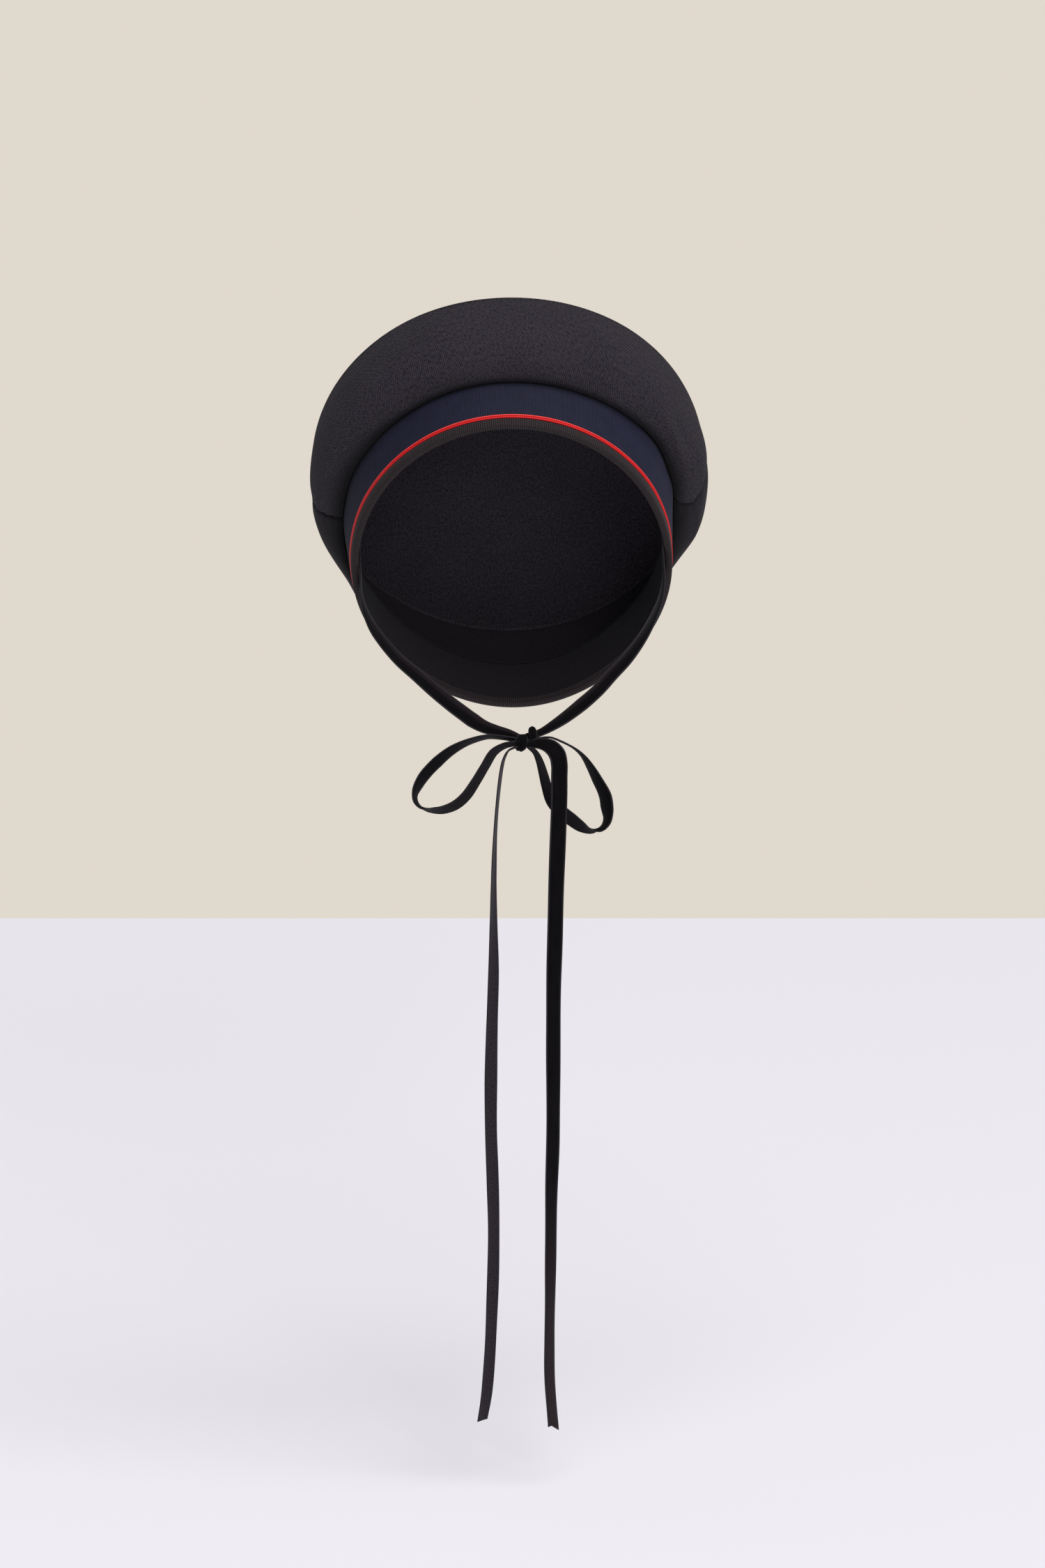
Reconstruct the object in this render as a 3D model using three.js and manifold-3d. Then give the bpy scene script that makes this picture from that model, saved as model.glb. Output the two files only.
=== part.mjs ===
// Sailor cap, tilted back as it is worn: a soft round crown over a band with a dark ribbon, red
// piping and a bound lower edge, and a velvet chin ribbon tied in a bow with two hanging tails.
// Lengths are millimetres and angles are degrees. +Z is up, -Y is the front, and the origin is the
// centre of the opening that the head goes into.

import * as THREE from "three";
import { mergeVertices } from "three/addons/utils/BufferGeometryUtils.js";
import Module from "manifold-3d";

// Opening and worn pose
const openingHalfWidth = 82.6;
const openingHalfLength = 101;
const rearTaper = 0.08;
const tiltBack = 56.6;
const sideRoll = 3;

// Cloth and clearances
const clothGap = 0.3;
const bandWall = 1;
const crownWall = 1.8;

// Band, from the lower edge up
const bandHeight = 34;
const bandFlare = 2.6;
const bindingThickness = 1;
const bindingHeight = 4.2;
const bindingInsideHeight = 4;
const pipingLine = 1.3;
const pipingProud = 1.2;
const ribbonThickness = 1;
const ribbonTopMargin = 1;

// Crown
const lipDrop = 5;
const lipRadius = 0.8;
const rimHalfWidth = 106.8;
const rimFrontReach = 130.5;
const rimRearReach = 115;
const rimShiftRight = 0.4;
const rimSquareness = 1.7;
const rimHeight = 70;
const rimRoll = 2.6;
const topDome = 5;
const puffDepth = 6;
const frontSeamAtBand = 83;
const frontSeamAtRim = 98;
const seamDip = 0.7;
const seamSoftness = 3;

// Velvet ribbon of the chin strap, bow and tails
const velvetWidth = 9.5;
const velvetThickness = 1;
const tailSlant = 2.4;
const knotWidth = 7;
const knotDepth = 8;
const knotHeight = 9.4;

// Faceting
const ringSteps = 72;
const frontSteps = 36;
const rearSteps = 32;
const panelLevels = 9;
const topRings = 4;
const rollSteps = 3;
const pipingArcSteps = 3;
const ribbonRowsPerSpan = 2;
const knotSegments = 10;
const knotRings = 8;
const mergeDistance = 1e-4;

const colours = {
  crownCloth: 0x17161a,
  bandRibbon: 0x1a2236,
  piping: 0xc8161d,
  binding: 0x1b1a1c,
  velvet: 0x121113,
};

const radians = THREE.MathUtils.degToRad;
const mix = THREE.MathUtils.lerp;

// Turns rows of numbers into rows with named columns.
function table(columns, rows) {
  return rows.map((row) => Object.fromEntries(columns.map((name, index) => [name, row[index]])));
}

// Reads a table at a key value, easing smoothly from row to row.
function rowAt(rows, key, value) {
  const last = rows.length - 1;
  const clamped = THREE.MathUtils.clamp(value, rows[0][key], rows[last][key]);
  let index = 0;
  while (index < last - 1 && rows[index + 1][key] < clamped) {
    index += 1;
  }
  const low = rows[index];
  const high = rows[index + 1];
  const share = THREE.MathUtils.smoothstep(clamped, low[key], high[key]);
  return Object.fromEntries(Object.keys(low).map((name) => [name, mix(low[name], high[name], share)]));
}

// Side panel from the band to the rim: reach is the share of the overhang, rise the share of the
// panel's height, and puff the share of the outward swelling at that azimuth.
const panelProfile = table(["reach", "rise", "puff"], [
  [0.0, 0.0, 0.0],
  [0.15, 0.0, 0.12],
  [0.36, 0.05, 0.4],
  [0.58, 0.15, 0.75],
  [0.77, 0.28, 1.0],
  [0.9, 0.47, 1.0],
  [0.98, 0.67, 0.75],
  [1.0, 0.85, 0.35],
  [1.0, 1.0, 0.0],
]);

// How the crown sits at each azimuth: puff is the share of puffDepth that the panel swells, drop
// the share of lipDrop that its rolled lip comes down over the ribbon, and square the share of
// rimSquareness that its rim reaches past the plain oval.
const crownAround = table(["azimuth", "puff", "drop", "square"], [
  [-180, 0.5, 0.6, 1.0],
  [-120, 0.25, 0.8, 0.7],
  [-90, 0.35, 1.0, 0.8],
  [-45, 0.35, 0.95, 0.45],
  [0, 0.3, 1.0, 1.0],
  [35, 0.35, 0.7, 1.0],
  [62, 0.35, 0.2, 1.0],
  [90, 0.35, 0.1, 1.0],
  [120, 0.1, 0.7, 0.2],
  [180, 0.5, 0.6, 1.0],
]);

// How the band leans at each azimuth, as a share of bandFlare: it sits closer to the head on the
// right, behind its widest place.
const bandAround = table(["azimuth", "flare"], [
  [-180, 1.0],
  [-115, 1.0],
  [-95, 1.3],
  [-80, 1.9],
  [-65, 2.15],
  [-50, 1.6],
  [-30, 1.1],
  [0, 1.0],
  [25, 1.15],
  [45, 1.95],
  [60, 2.35],
  [75, 1.7],
  [90, 0.6],
  [104, -0.15],
  [125, 0.2],
  [180, 1.0],
]);

// Soft dents and ridges of the worn cloth. Azimuth runs from the front to the right, level is the
// share of the way from the band to the rim, depth is a share of puffDepth, and a ridge is negative.
const dents = table(["azimuth", "level", "depth", "wide", "tall"], [
  [62, 0.62, 0.35, 9, 0.3],
  [78, 0.5, -0.3, 8, 0.3],
  [104, 0.45, -0.15, 5, 0.35],
  [120, 0.5, 0.85, 15, 0.5],
  [-112, 0.55, 0.65, 13, 0.5],
]);

// The same azimuth, from -180 up to 180.
function fromFront(azimuth) {
  return THREE.MathUtils.euclideanModulo(azimuth + 180, 360) - 180;
}

// Ellipse around the cap's axis, a little narrower behind, with azimuth 0 at the front and 90 on
// the +X side.
function ellipsePoint(halfWidth, frontReach, rearReach, height, azimuth) {
  const halfLength = (frontReach + rearReach) / 2;
  const centre = (rearReach - frontReach) / 2;
  const across = Math.sin(radians(azimuth));
  const forward = Math.cos(radians(azimuth));
  const taper = 1 - rearTaper * Math.min(forward, 0) ** 2;
  return new THREE.Vector3(halfWidth * taper * across, centre - halfLength * forward, height);
}

// A point of the band, out from the inner face of its wall.
function bandPoint(azimuth, out, height) {
  const flare = bandFlare * rowAt(bandAround, "azimuth", fromFront(azimuth)).flare;
  const grow = bindingThickness + clothGap + flare * (height / bandHeight) + out;
  const reach = openingHalfLength + grow;
  return ellipsePoint(openingHalfWidth + grow, reach, reach, height, azimuth);
}

function rimPoint(azimuth, inset, height) {
  const share = rowAt(crownAround, "azimuth", fromFront(azimuth)).square;
  const square = rimSquareness * share * Math.sin(2 * radians(azimuth)) ** 2 - inset;
  const point = ellipsePoint(rimHalfWidth + square, rimFrontReach + square, rimRearReach + square, height,
    azimuth);
  return point.setX(point.x + rimShiftRight);
}

const wallBottom = 2 * clothGap;
const trimInner = bandWall + clothGap;
const ribbonOuter = trimInner + ribbonThickness;
const pipingBottom = bindingHeight + clothGap;
const pipingTop = pipingBottom + 2 * pipingLine;
const ribbonBottom = pipingTop + clothGap;
const ribbonTop = bandHeight - ribbonTopMargin;
const crownSeat = bandHeight + clothGap;

// Outer skin of the crown's side, from the lip over the ribbon at level 0 to the rim at level 1.
const profileCurve = new THREE.CatmullRomCurve3(
  panelProfile.map((row) => new THREE.Vector3(row.reach, row.rise, row.puff)),
);

// The lowest point of the crown's lip, which rolls down over the face of the ribbon.
function lipPoint(azimuth) {
  const drop = lipDrop * rowAt(crownAround, "azimuth", fromFront(azimuth)).drop;
  return bandPoint(azimuth, ribbonOuter + clothGap + lipRadius, crownSeat - drop);
}

function crownPoint(azimuth, level) {
  const shape = profileCurve.getPoint(level);
  const lip = lipPoint(azimuth);
  const rim = rimPoint(azimuth, 0, rimHeight);
  const point = new THREE.Vector3(
    mix(lip.x, rim.x, shape.x),
    mix(lip.y, rim.y, shape.x),
    mix(lip.z, rim.z, shape.y),
  );
  const around = fromFront(azimuth);
  let swell = puffDepth * rowAt(crownAround, "azimuth", around).puff * shape.z;
  for (const dent of dents) {
    const across = fromFront(azimuth - dent.azimuth);
    const along = level - dent.level;
    const fade = Math.exp(-((across / dent.wide) ** 2) - (along / dent.tall) ** 2);
    swell -= puffDepth * dent.depth * fade * Math.sin(Math.PI * level);
  }
  const fromSeam = Math.abs(Math.abs(around) - seamAzimuth(level));
  swell -= seamDip * Math.exp(-((fromSeam / seamSoftness) ** 2));
  const outward = new THREE.Vector3(lip.x / openingHalfWidth, lip.y / openingHalfLength, 0).normalize();
  return point.addScaledVector(outward, swell);
}

function seamAzimuth(level) {
  return mix(frontSeamAtBand, frontSeamAtRim, level);
}

// Offsets a point of the crown's side inwards by the thickness of the cloth.
function crownInnerPoint(azimuth, level) {
  const levelStep = 0.01;
  const azimuthStep = 1;
  const here = crownPoint(azimuth, level);
  const lower = crownPoint(azimuth, Math.max(level - levelStep, 0));
  const upper = crownPoint(azimuth, Math.min(level + levelStep, 1));
  const before = crownPoint(azimuth - azimuthStep, level);
  const after = crownPoint(azimuth + azimuthStep, level);
  const inward = after.sub(before).cross(upper.sub(lower)).normalize().negate();
  return here.addScaledVector(inward, crownWall);
}

// Joins rows of section points into one closed solid. The first half of a section is one face of
// the cloth and the second half, in reverse, is the other; open rows get an end face.
function sweepSolid(rows, closed) {
  const count = rows[0].length;
  const positions = rows.flat().flatMap((point) => point.toArray());
  const triangles = [];
  const quad = (a, b, c, d) => triangles.push(a, b, c, a, c, d);
  const spans = closed ? rows.length : rows.length - 1;
  for (let row = 0; row < spans; row += 1) {
    const here = row * count;
    const next = ((row + 1) % rows.length) * count;
    for (let place = 0; place < count; place += 1) {
      const beside = (place + 1) % count;
      quad(here + place, here + beside, next + beside, next + place);
    }
  }
  if (!closed) {
    const end = (rows.length - 1) * count;
    for (let place = 0; place < count / 2 - 1; place += 1) {
      const across = count - 1 - place;
      quad(place, across, across - 1, place + 1);
      quad(end + place, end + place + 1, end + across - 1, end + across);
    }
  }
  return closedGeometry(positions, triangles);
}

// Merges equal vertices, drops triangles that have collapsed at a pole and turns the faces out.
function closedGeometry(positions, triangles) {
  const raw = new THREE.BufferGeometry();
  raw.setAttribute("position", new THREE.Float32BufferAttribute(positions, 3));
  raw.setIndex(triangles);
  const merged = mergeVertices(raw, mergeDistance);
  const index = merged.getIndex().array;
  const place = merged.getAttribute("position");
  const corner = (vertex) => new THREE.Vector3().fromBufferAttribute(place, vertex);
  const kept = [];
  let volume = 0;
  for (let start = 0; start < index.length; start += 3) {
    const [a, b, c] = [index[start], index[start + 1], index[start + 2]];
    if (a !== b && b !== c && c !== a) {
      kept.push([a, b, c]);
      volume += corner(a).dot(corner(b).cross(corner(c)));
    }
  }
  merged.setIndex(kept.flatMap(([a, b, c]) => (volume < 0 ? [a, c, b] : [a, b, c])));
  merged.computeVertexNormals();
  return merged;
}

function ringAzimuths() {
  return Array.from({ length: ringSteps }, (_, step) => (360 * step) / ringSteps);
}

// A ring around the band whose section is a closed list of points with out and height columns.
function bandRing(section) {
  const rows = ringAzimuths().map((azimuth) =>
    section.map(({ out, height }) => bandPoint(azimuth, out, height)),
  );
  return sweepSolid(rows, true);
}

function rectangleSection(outInner, outOuter, bottom, top) {
  return table(["out", "height"], [
    [outOuter, bottom],
    [outOuter, top],
    [outInner, top],
    [outInner, bottom],
  ]);
}

// The bound edge folds round the lower edge of the wall, low on the inside and higher outside.
function bindingSection() {
  const inner = -clothGap;
  const middle = bandWall / 2;
  return table(["out", "height"], [
    [trimInner + bindingThickness, bindingHeight],
    [trimInner + bindingThickness, 0],
    [middle, -bindingThickness],
    [inner - bindingThickness, 0],
    [inner - bindingThickness, bindingInsideHeight],
    [inner, bindingInsideHeight],
    [inner, clothGap],
    [middle, 0],
    [trimInner, clothGap],
    [trimInner, bindingHeight],
  ]);
}

// The piping is two round lines side by side, joined at a narrow waist.
function pipingSection() {
  const section = [];
  const arcEnd = 65;
  for (const line of [0, 1]) {
    const centre = pipingBottom + pipingLine * (line + 0.5);
    for (let step = 0; step <= pipingArcSteps; step += 1) {
      const angle = radians(mix(-arcEnd, arcEnd, step / pipingArcSteps));
      section.push({
        out: trimInner + pipingProud - pipingLine / 2 + (pipingLine / 2) * Math.cos(angle),
        height: centre + (pipingLine / 2) * Math.sin(angle),
      });
    }
  }
  section.push({ out: trimInner, height: pipingTop }, { out: trimInner, height: pipingBottom });
  return section;
}

// One side panel of the crown, between two seams given as azimuths at each level.
function crownPanel(fromSeam, toSeam, steps) {
  const levels = Array.from({ length: panelLevels }, (_, step) => step / (panelLevels - 1));
  const rows = [];
  for (let step = 0; step <= steps; step += 1) {
    const azimuthAt = (level) => mix(fromSeam(level), toSeam(level), step / steps);
    const start = azimuthAt(0);
    const lip = lipPoint(start);
    const under = [
      bandPoint(start, clothGap, crownSeat),
      bandPoint(start, ribbonOuter + clothGap, crownSeat),
      bandPoint(start, ribbonOuter + clothGap, lip.z + lipRadius),
    ];
    const over = [
      bandPoint(start, ribbonOuter, crownSeat + crownWall),
      bandPoint(start, ribbonOuter / 2, crownSeat + crownWall),
      bandPoint(start, clothGap, crownSeat + crownWall),
    ];
    const outer = levels.map((level) => crownPoint(azimuthAt(level), level));
    const inner = levels.map((level) => crownInnerPoint(azimuthAt(level), level));
    rows.push([...under, ...outer, ...inner.reverse(), ...over]);
  }
  return sweepSolid(rows, false);
}

// The top is a lid with a rolled edge that meets the side panels at the rim seam.
function crownTop() {
  const edge = rimHeight + clothGap;
  const rolled = (azimuth, radius, share) => {
    const angle = radians(90 * share);
    return rimPoint(azimuth, rimRoll - radius * Math.cos(angle), edge + radius * Math.sin(angle));
  };
  const domed = (azimuth, share, drop) => {
    const start = rimPoint(azimuth, rimRoll, 0);
    const middle = (rimRearReach - rimFrontReach) / 2;
    const height = edge + rimRoll - drop + topDome * (1 - share ** 2);
    return new THREE.Vector3(mix(rimShiftRight, start.x, share), mix(middle, start.y, share), height);
  };
  const rows = ringAzimuths().map((azimuth) => {
    const outer = [];
    const inner = [];
    for (let step = 0; step < rollSteps; step += 1) {
      outer.push(rolled(azimuth, rimRoll, step / rollSteps));
      inner.push(rolled(azimuth, rimRoll - crownWall, step / rollSteps));
    }
    for (let ring = topRings; ring >= 0; ring -= 1) {
      outer.push(domed(azimuth, ring / topRings, 0));
      inner.push(domed(azimuth, ring / topRings, crownWall));
    }
    return [...outer, ...inner.reverse()];
  });
  return sweepSolid(rows, true);
}

// Routes of the velvet ribbon, chosen by eye. Turn 0 stands the ribbon's width front to back and
// turn 90 shows its face to the front; gather is the share of its width left where it is pinched.
const routeColumns = ["x", "y", "z", "turn", "gather"];

const strapLeftRoute = table(routeColumns, [
  [-82.8, -1, 27, -12, 1],
  [-82.3, -1, 12, -8, 1],
  [-81.5, -1, -3, 0, 1],
  [-81.3, -3, -12, 4, 1],
  [-79.4, -9, -19.5, 10, 1],
  [-74.9, -22, -27.5, 18, 1],
  [-68.5, -35, -34.5, 25, 1],
  [-59.7, -47, -42.2, 31, 1],
  [-50.6, -53.8, -48.8, 36, 1],
  [-41.8, -58.8, -55.6, 40, 1],
  [-32.9, -62.8, -62.2, 43, 1],
  [-26.8, -65.2, -66.4, 46, 1],
  [-20.8, -67, -70.5, 48, 1],
  [-14.8, -68.4, -73.7, 48, 0.85],
  [-8.3, -69.8, -75.5, 48, 0.7],
  [-1.8, -70.8, -76.9, 48, 0.55],
  [4.2, -72, -78, 48, 0.5],
]);

const strapRightRoute = table(routeColumns, [
  [79.6, -1, 36, 12, 1],
  [80.7, -1, 20, 8, 1],
  [81.2, -1, 6, 0, 1],
  [81.3, -2, -5, -4, 1],
  [79.6, -8, -14, -10, 1],
  [75.4, -20, -23, -20, 1],
  [69.2, -33, -32, -26, 1],
  [61.2, -44.5, -41, -31, 1],
  [53.2, -53, -48.2, -35, 1],
  [45.4, -60.5, -55.4, -38, 1],
  [37.1, -64.5, -62.1, -39, 1],
  [27.8, -67.5, -68.9, -38, 0.85],
  [21.3, -69.4, -72.9, -37, 0.7],
  [15.8, -70.6, -75.8, -36, 0.55],
  [10.4, -72.3, -77.6, -34, 0.5],
]);

const loopLeftRoute = table(routeColumns, [
  [2.6, -74.6, -79.4, 34, 0.5],
  [-5.5, -76, -77.8, 26, 0.75],
  [-12.8, -77.5, -77.1, 24, 0.95],
  [-23, -80, -79.3, 30, 1],
  [-32, -82, -83.5, 41, 1],
  [-39.6, -83.2, -89.5, 48, 1],
  [-46.4, -83.5, -96.8, 44, 1],
  [-50.1, -83, -103.5, 33, 1],
  [-51, -81.5, -109.7, 14, 1],
  [-48.4, -79, -114.7, -10, 1],
  [-42.9, -76.5, -117, -30, 1],
  [-36.5, -74.5, -117.4, -38, 1],
  [-30, -73, -115.3, -41, 1],
  [-24.5, -72, -110.8, -40, 1],
  [-19.2, -72, -103, -37, 1],
  [-14.2, -72.6, -94.4, -36, 1],
  [-9.4, -73.6, -86.4, -37, 0.95],
  [-4.1, -74.6, -82.8, -36, 0.75],
  [2.4, -75.9, -81, -40, 0.5],
]);

const loopRightRoute = table(routeColumns, [
  [11.6, -74.3, -79.2, -20, 0.5],
  [19.9, -75.5, -77.9, -12, 0.75],
  [26.4, -76.5, -80.1, -10, 0.95],
  [32.4, -77.5, -83.1, -12, 1],
  [37.2, -78, -87.3, -18, 1],
  [41.3, -78.4, -93.2, -28, 1],
  [45.3, -78.4, -100.6, -38, 1],
  [49.2, -78, -108.6, -46, 1],
  [50.3, -77, -115.9, -46, 1],
  [50, -75.5, -122.2, -32, 1],
  [47.2, -73, -127.2, -4, 1],
  [42.2, -71, -129, 28, 1],
  [36.8, -69.5, -127.2, 48, 1],
  [31.4, -68.8, -123.4, 56, 1],
  [26.3, -68.6, -119.3, 56, 1],
  [21.8, -68.8, -114.1, 50, 1],
  [18.9, -69.4, -106.4, 38, 1],
  [16.9, -70.4, -98.5, 31, 1],
  [15, -71.8, -91.6, 28, 0.9],
  [12.8, -73.2, -86.8, 28, 0.7],
  [8.6, -75.2, -82.6, 30, 0.5],
]);

const tailLeftRoute = table(routeColumns, [
  [2.6, -77.9, -82.6, 10, 0.5],
  [-1.8, -79.5, -84.4, 8, 0.75],
  [-4.3, -80.4, -88.5, 8, 0.95],
  [-5.6, -81, -93.5, 8, 1],
  [-7.6, -81.8, -109.4, 9, 1],
  [-9.2, -82, -131, 11, 1],
  [-9.9, -82, -155, 15, 1],
  [-10, -82, -178.5, 26, 1],
  [-10, -82, -204, 34, 1],
  [-10.9, -82, -236, 41, 1],
  [-11.4, -82, -263, 43, 1],
  [-11.4, -82, -290, 42, 1],
  [-10.6, -82, -316, 40, 1],
  [-10, -82, -342, 40, 1],
  [-10.2, -82, -365, 40, 1],
  [-11, -82, -390, 40, 1],
  [-12.2, -82, -416, 39, 1],
  [-14, -82, -438, 37, 1],
  [-16.2, -82, -451.5, 35, 1],
]);

const tailRightRoute = table(routeColumns, [
  [8, -78.4, -80.9, 40, 0.5],
  [15.6, -81.4, -80.3, 50, 0.7],
  [20.4, -83.2, -81.6, 60, 0.9],
  [23.8, -84.6, -85.2, 66, 1],
  [25, -85, -90.6, 66, 1],
  [25, -84.8, -97.5, 66, 1],
  [25, -84.4, -108, 66, 1],
  [24.3, -84, -130.6, 64, 1],
  [23.4, -84, -156, 62, 1],
  [22.8, -84, -183, 60, 1],
  [22.1, -84, -210, 56, 1],
  [21.9, -84, -240, 53, 1],
  [21.9, -84, -269, 51, 1],
  [21.7, -84, -297, 48, 1],
  [20.9, -84, -324, 44, 1],
  [20.6, -84, -351, 39, 1],
  [20.3, -84, -378, 36, 1],
  [19.9, -84, -405, 34, 1],
  [20, -84, -427, 34, 1],
  [21.3, -84, -446, 35, 1],
  [22, -84, -454.5, 36, 1],
]);

// A flat ribbon along a route, two rows to each span, cut square or with a slanted end.
function flatRibbon(route, endSlant) {
  const curve = new THREE.CatmullRomCurve3(route.map(({ x, y, z }) => new THREE.Vector3(x, y, z)));
  const spans = route.length - 1;
  const lastStep = spans * ribbonRowsPerSpan;
  const rows = [];
  for (let step = 0; step <= lastStep; step += 1) {
    const at = step / ribbonRowsPerSpan;
    const low = route[Math.min(Math.floor(at), spans - 1)];
    const high = route[Math.min(Math.floor(at), spans - 1) + 1];
    const share = at - Math.min(Math.floor(at), spans - 1);
    const tangent = curve.getTangent(at / spans);
    const depth = new THREE.Vector3(0, 1, 0).addScaledVector(tangent, -tangent.y).normalize();
    const across = new THREE.Vector3().crossVectors(tangent, depth);
    const turn = radians(mix(low.turn, high.turn, share));
    const wide = depth.clone().multiplyScalar(Math.cos(turn)).addScaledVector(across, Math.sin(turn));
    const thick = new THREE.Vector3().crossVectors(tangent, wide);
    const half = (velvetWidth / 2) * mix(low.gather, high.gather, share);
    const slant = step === lastStep ? endSlant / 2 : 0;
    const corner = (side, face) => curve.getPoint(at / spans)
      .addScaledVector(wide, side * half)
      .addScaledVector(thick, (face * velvetThickness) / 2)
      .addScaledVector(tangent, side * slant);
    rows.push([corner(-1, 1), corner(1, 1), corner(1, -1), corner(-1, -1)]);
  }
  return sweepSolid(rows, false);
}

const wasm = await Module();
wasm.setup();

function toSolid(geometry) {
  const bare = new THREE.BufferGeometry();
  bare.setAttribute("position", geometry.getAttribute("position"));
  bare.setIndex(geometry.getIndex());
  const merged = mergeVertices(bare, mergeDistance);
  return new wasm.Manifold(new wasm.Mesh({
    numProp: 3,
    vertProperties: Float32Array.from(merged.getAttribute("position").array),
    triVerts: Uint32Array.from(merged.getIndex().array),
  }));
}

function toGeometry(solid) {
  const mesh = solid.getMesh();
  return closedGeometry(Array.from(mesh.vertProperties), Array.from(mesh.triVerts));
}

// The knot is three fused lumps of wrapped ribbon: the wrap over the bow, the small turn above it
// and the crossing behind them, each with its size as shares of the knot's.
const knotLumps = table(["x", "y", "z", "wide", "deep", "tall", "lean"], [
  [5, -76.4, -80.6, 1, 1, 1, 14],
  [11.1, -75.8, -75.7, 0.66, 0.75, 0.8, -12],
  [8.2, -74, -78.6, 1.1, 0.62, 0.55, -20],
]);

function knotSolid(margin) {
  const lumps = knotLumps.map((lump) => {
    const ball = new THREE.SphereGeometry(0.5, knotSegments, knotRings);
    ball.deleteAttribute("normal");
    ball.deleteAttribute("uv");
    ball.scale(knotWidth * lump.wide + 2 * margin, knotDepth * lump.deep + 2 * margin,
      knotHeight * lump.tall + 2 * margin);
    ball.rotateY(radians(lump.lean));
    ball.translate(lump.x, lump.y, lump.z);
    return toSolid(mergeVertices(ball, mergeDistance));
  });
  return lumps.reduce((whole, lump) => whole.add(lump));
}

// Stops a ribbon short of the knot that it comes out of.
const knotRoom = knotSolid(clothGap);

function clearOfKnot(geometry) {
  return toGeometry(toSolid(geometry).subtract(knotRoom));
}

function cloth(name, geometry, colour, roughness) {
  const material = new THREE.MeshStandardMaterial({ color: colour, roughness, metalness: 0 });
  const mesh = new THREE.Mesh(geometry, material);
  mesh.name = name;
  return mesh;
}

function band() {
  return [
    cloth("band_wall", bandRing(rectangleSection(0, bandWall, wallBottom, bandHeight)),
      colours.crownCloth, 0.95),
    cloth("band_ribbon", bandRing(rectangleSection(trimInner, ribbonOuter, ribbonBottom, ribbonTop)),
      colours.bandRibbon, 0.8),
    cloth("piping", bandRing(pipingSection()), colours.piping, 0.4),
    cloth("bottom_binding", bandRing(bindingSection()), colours.binding, 0.85),
  ];
}

function crown() {
  const seamGap = THREE.MathUtils.radToDeg(clothGap / 2 / openingHalfWidth);
  const frontEdge = (level) => seamAzimuth(level) - seamGap;
  const rearEdge = (level) => seamAzimuth(level) + seamGap;
  return [
    cloth("crown_side_front", crownPanel((level) => -frontEdge(level), frontEdge, frontSteps),
      colours.crownCloth, 0.95),
    cloth("crown_side_rear", crownPanel(rearEdge, (level) => 360 - rearEdge(level), rearSteps),
      colours.crownCloth, 0.95),
    cloth("crown_top", crownTop(), colours.crownCloth, 0.95),
  ];
}

function chinRibbon() {
  const velvet = (name, route, endSlant) =>
    cloth(name, clearOfKnot(flatRibbon(route, endSlant)), colours.velvet, 0.9);
  return [
    velvet("chin_strap_left", strapLeftRoute, 0),
    velvet("chin_strap_right", strapRightRoute, 0),
    velvet("bow_loop_left", loopLeftRoute, 0),
    velvet("bow_loop_right", loopRightRoute, 0),
    velvet("ribbon_tail_left", tailLeftRoute, tailSlant),
    velvet("ribbon_tail_right", tailRightRoute, -tailSlant),
    cloth("bow_knot", toGeometry(knotSolid(0)), colours.velvet, 0.9),
  ];
}

const tilted = new THREE.Group();
tilted.rotation.x = radians(-tiltBack);
tilted.add(...band(), ...crown());

const worn = new THREE.Group();
worn.rotation.y = radians(-sideRoll);
worn.add(tilted);

const cap = new THREE.Group();
cap.add(worn, ...chinRibbon());

export default cap;
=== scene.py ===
# Sailor cap, held up as worn: detailed cloth, ribbon, piping, binding and a velvet chin ribbon.
import math

import bmesh
import bpy
import numpy as np
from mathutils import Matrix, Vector


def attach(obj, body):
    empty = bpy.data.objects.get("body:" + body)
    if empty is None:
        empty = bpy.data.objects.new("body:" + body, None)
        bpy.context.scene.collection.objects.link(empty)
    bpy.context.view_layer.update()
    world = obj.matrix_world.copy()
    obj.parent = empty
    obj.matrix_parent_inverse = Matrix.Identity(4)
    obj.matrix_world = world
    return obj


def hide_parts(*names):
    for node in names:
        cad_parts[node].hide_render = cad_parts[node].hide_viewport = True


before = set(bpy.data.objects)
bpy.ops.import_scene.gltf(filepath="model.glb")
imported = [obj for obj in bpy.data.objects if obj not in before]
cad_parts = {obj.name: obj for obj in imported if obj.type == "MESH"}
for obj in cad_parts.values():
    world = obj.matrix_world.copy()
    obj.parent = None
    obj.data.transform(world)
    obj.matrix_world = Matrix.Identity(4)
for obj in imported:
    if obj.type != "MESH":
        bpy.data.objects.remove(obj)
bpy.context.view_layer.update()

MM = 0.001

# Camera and floor, in millimetres and degrees
CAMERA_PLACE = (5.618, -4060.438, 707.618)
CAMERA_PITCH = 11.5
CAMERA_LENS = 176.0
CAMERA_SENSOR = 36.0
CAMERA_FAR = 100000.0
FLOOR_HEIGHT = -486.0
FLOOR_FAR_EDGE = 1322.0
FLOOR_NEAR_EDGE = -2200.0
FLOOR_HALF_WIDTH = 6000.0

# Lights: places and size in metres, spread in degrees
SKY_FROM = (0.3, -0.5, 1.0)
SKY_STRENGTH = 2.3
SKY_SPREAD = 60.0
FRONT_LIGHT_PLACE = (1.2, -4.6, 2.0)
FRONT_LIGHT_TARGET = (0, -0.1, -0.1)
FRONT_LIGHT_SIZE = 2.0
FRONT_LIGHT_POWER = 100.0
FRONT_LIGHT_COLOUR = (1, 0.99, 0.985)
GLOW_STRENGTH = 0.32

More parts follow.
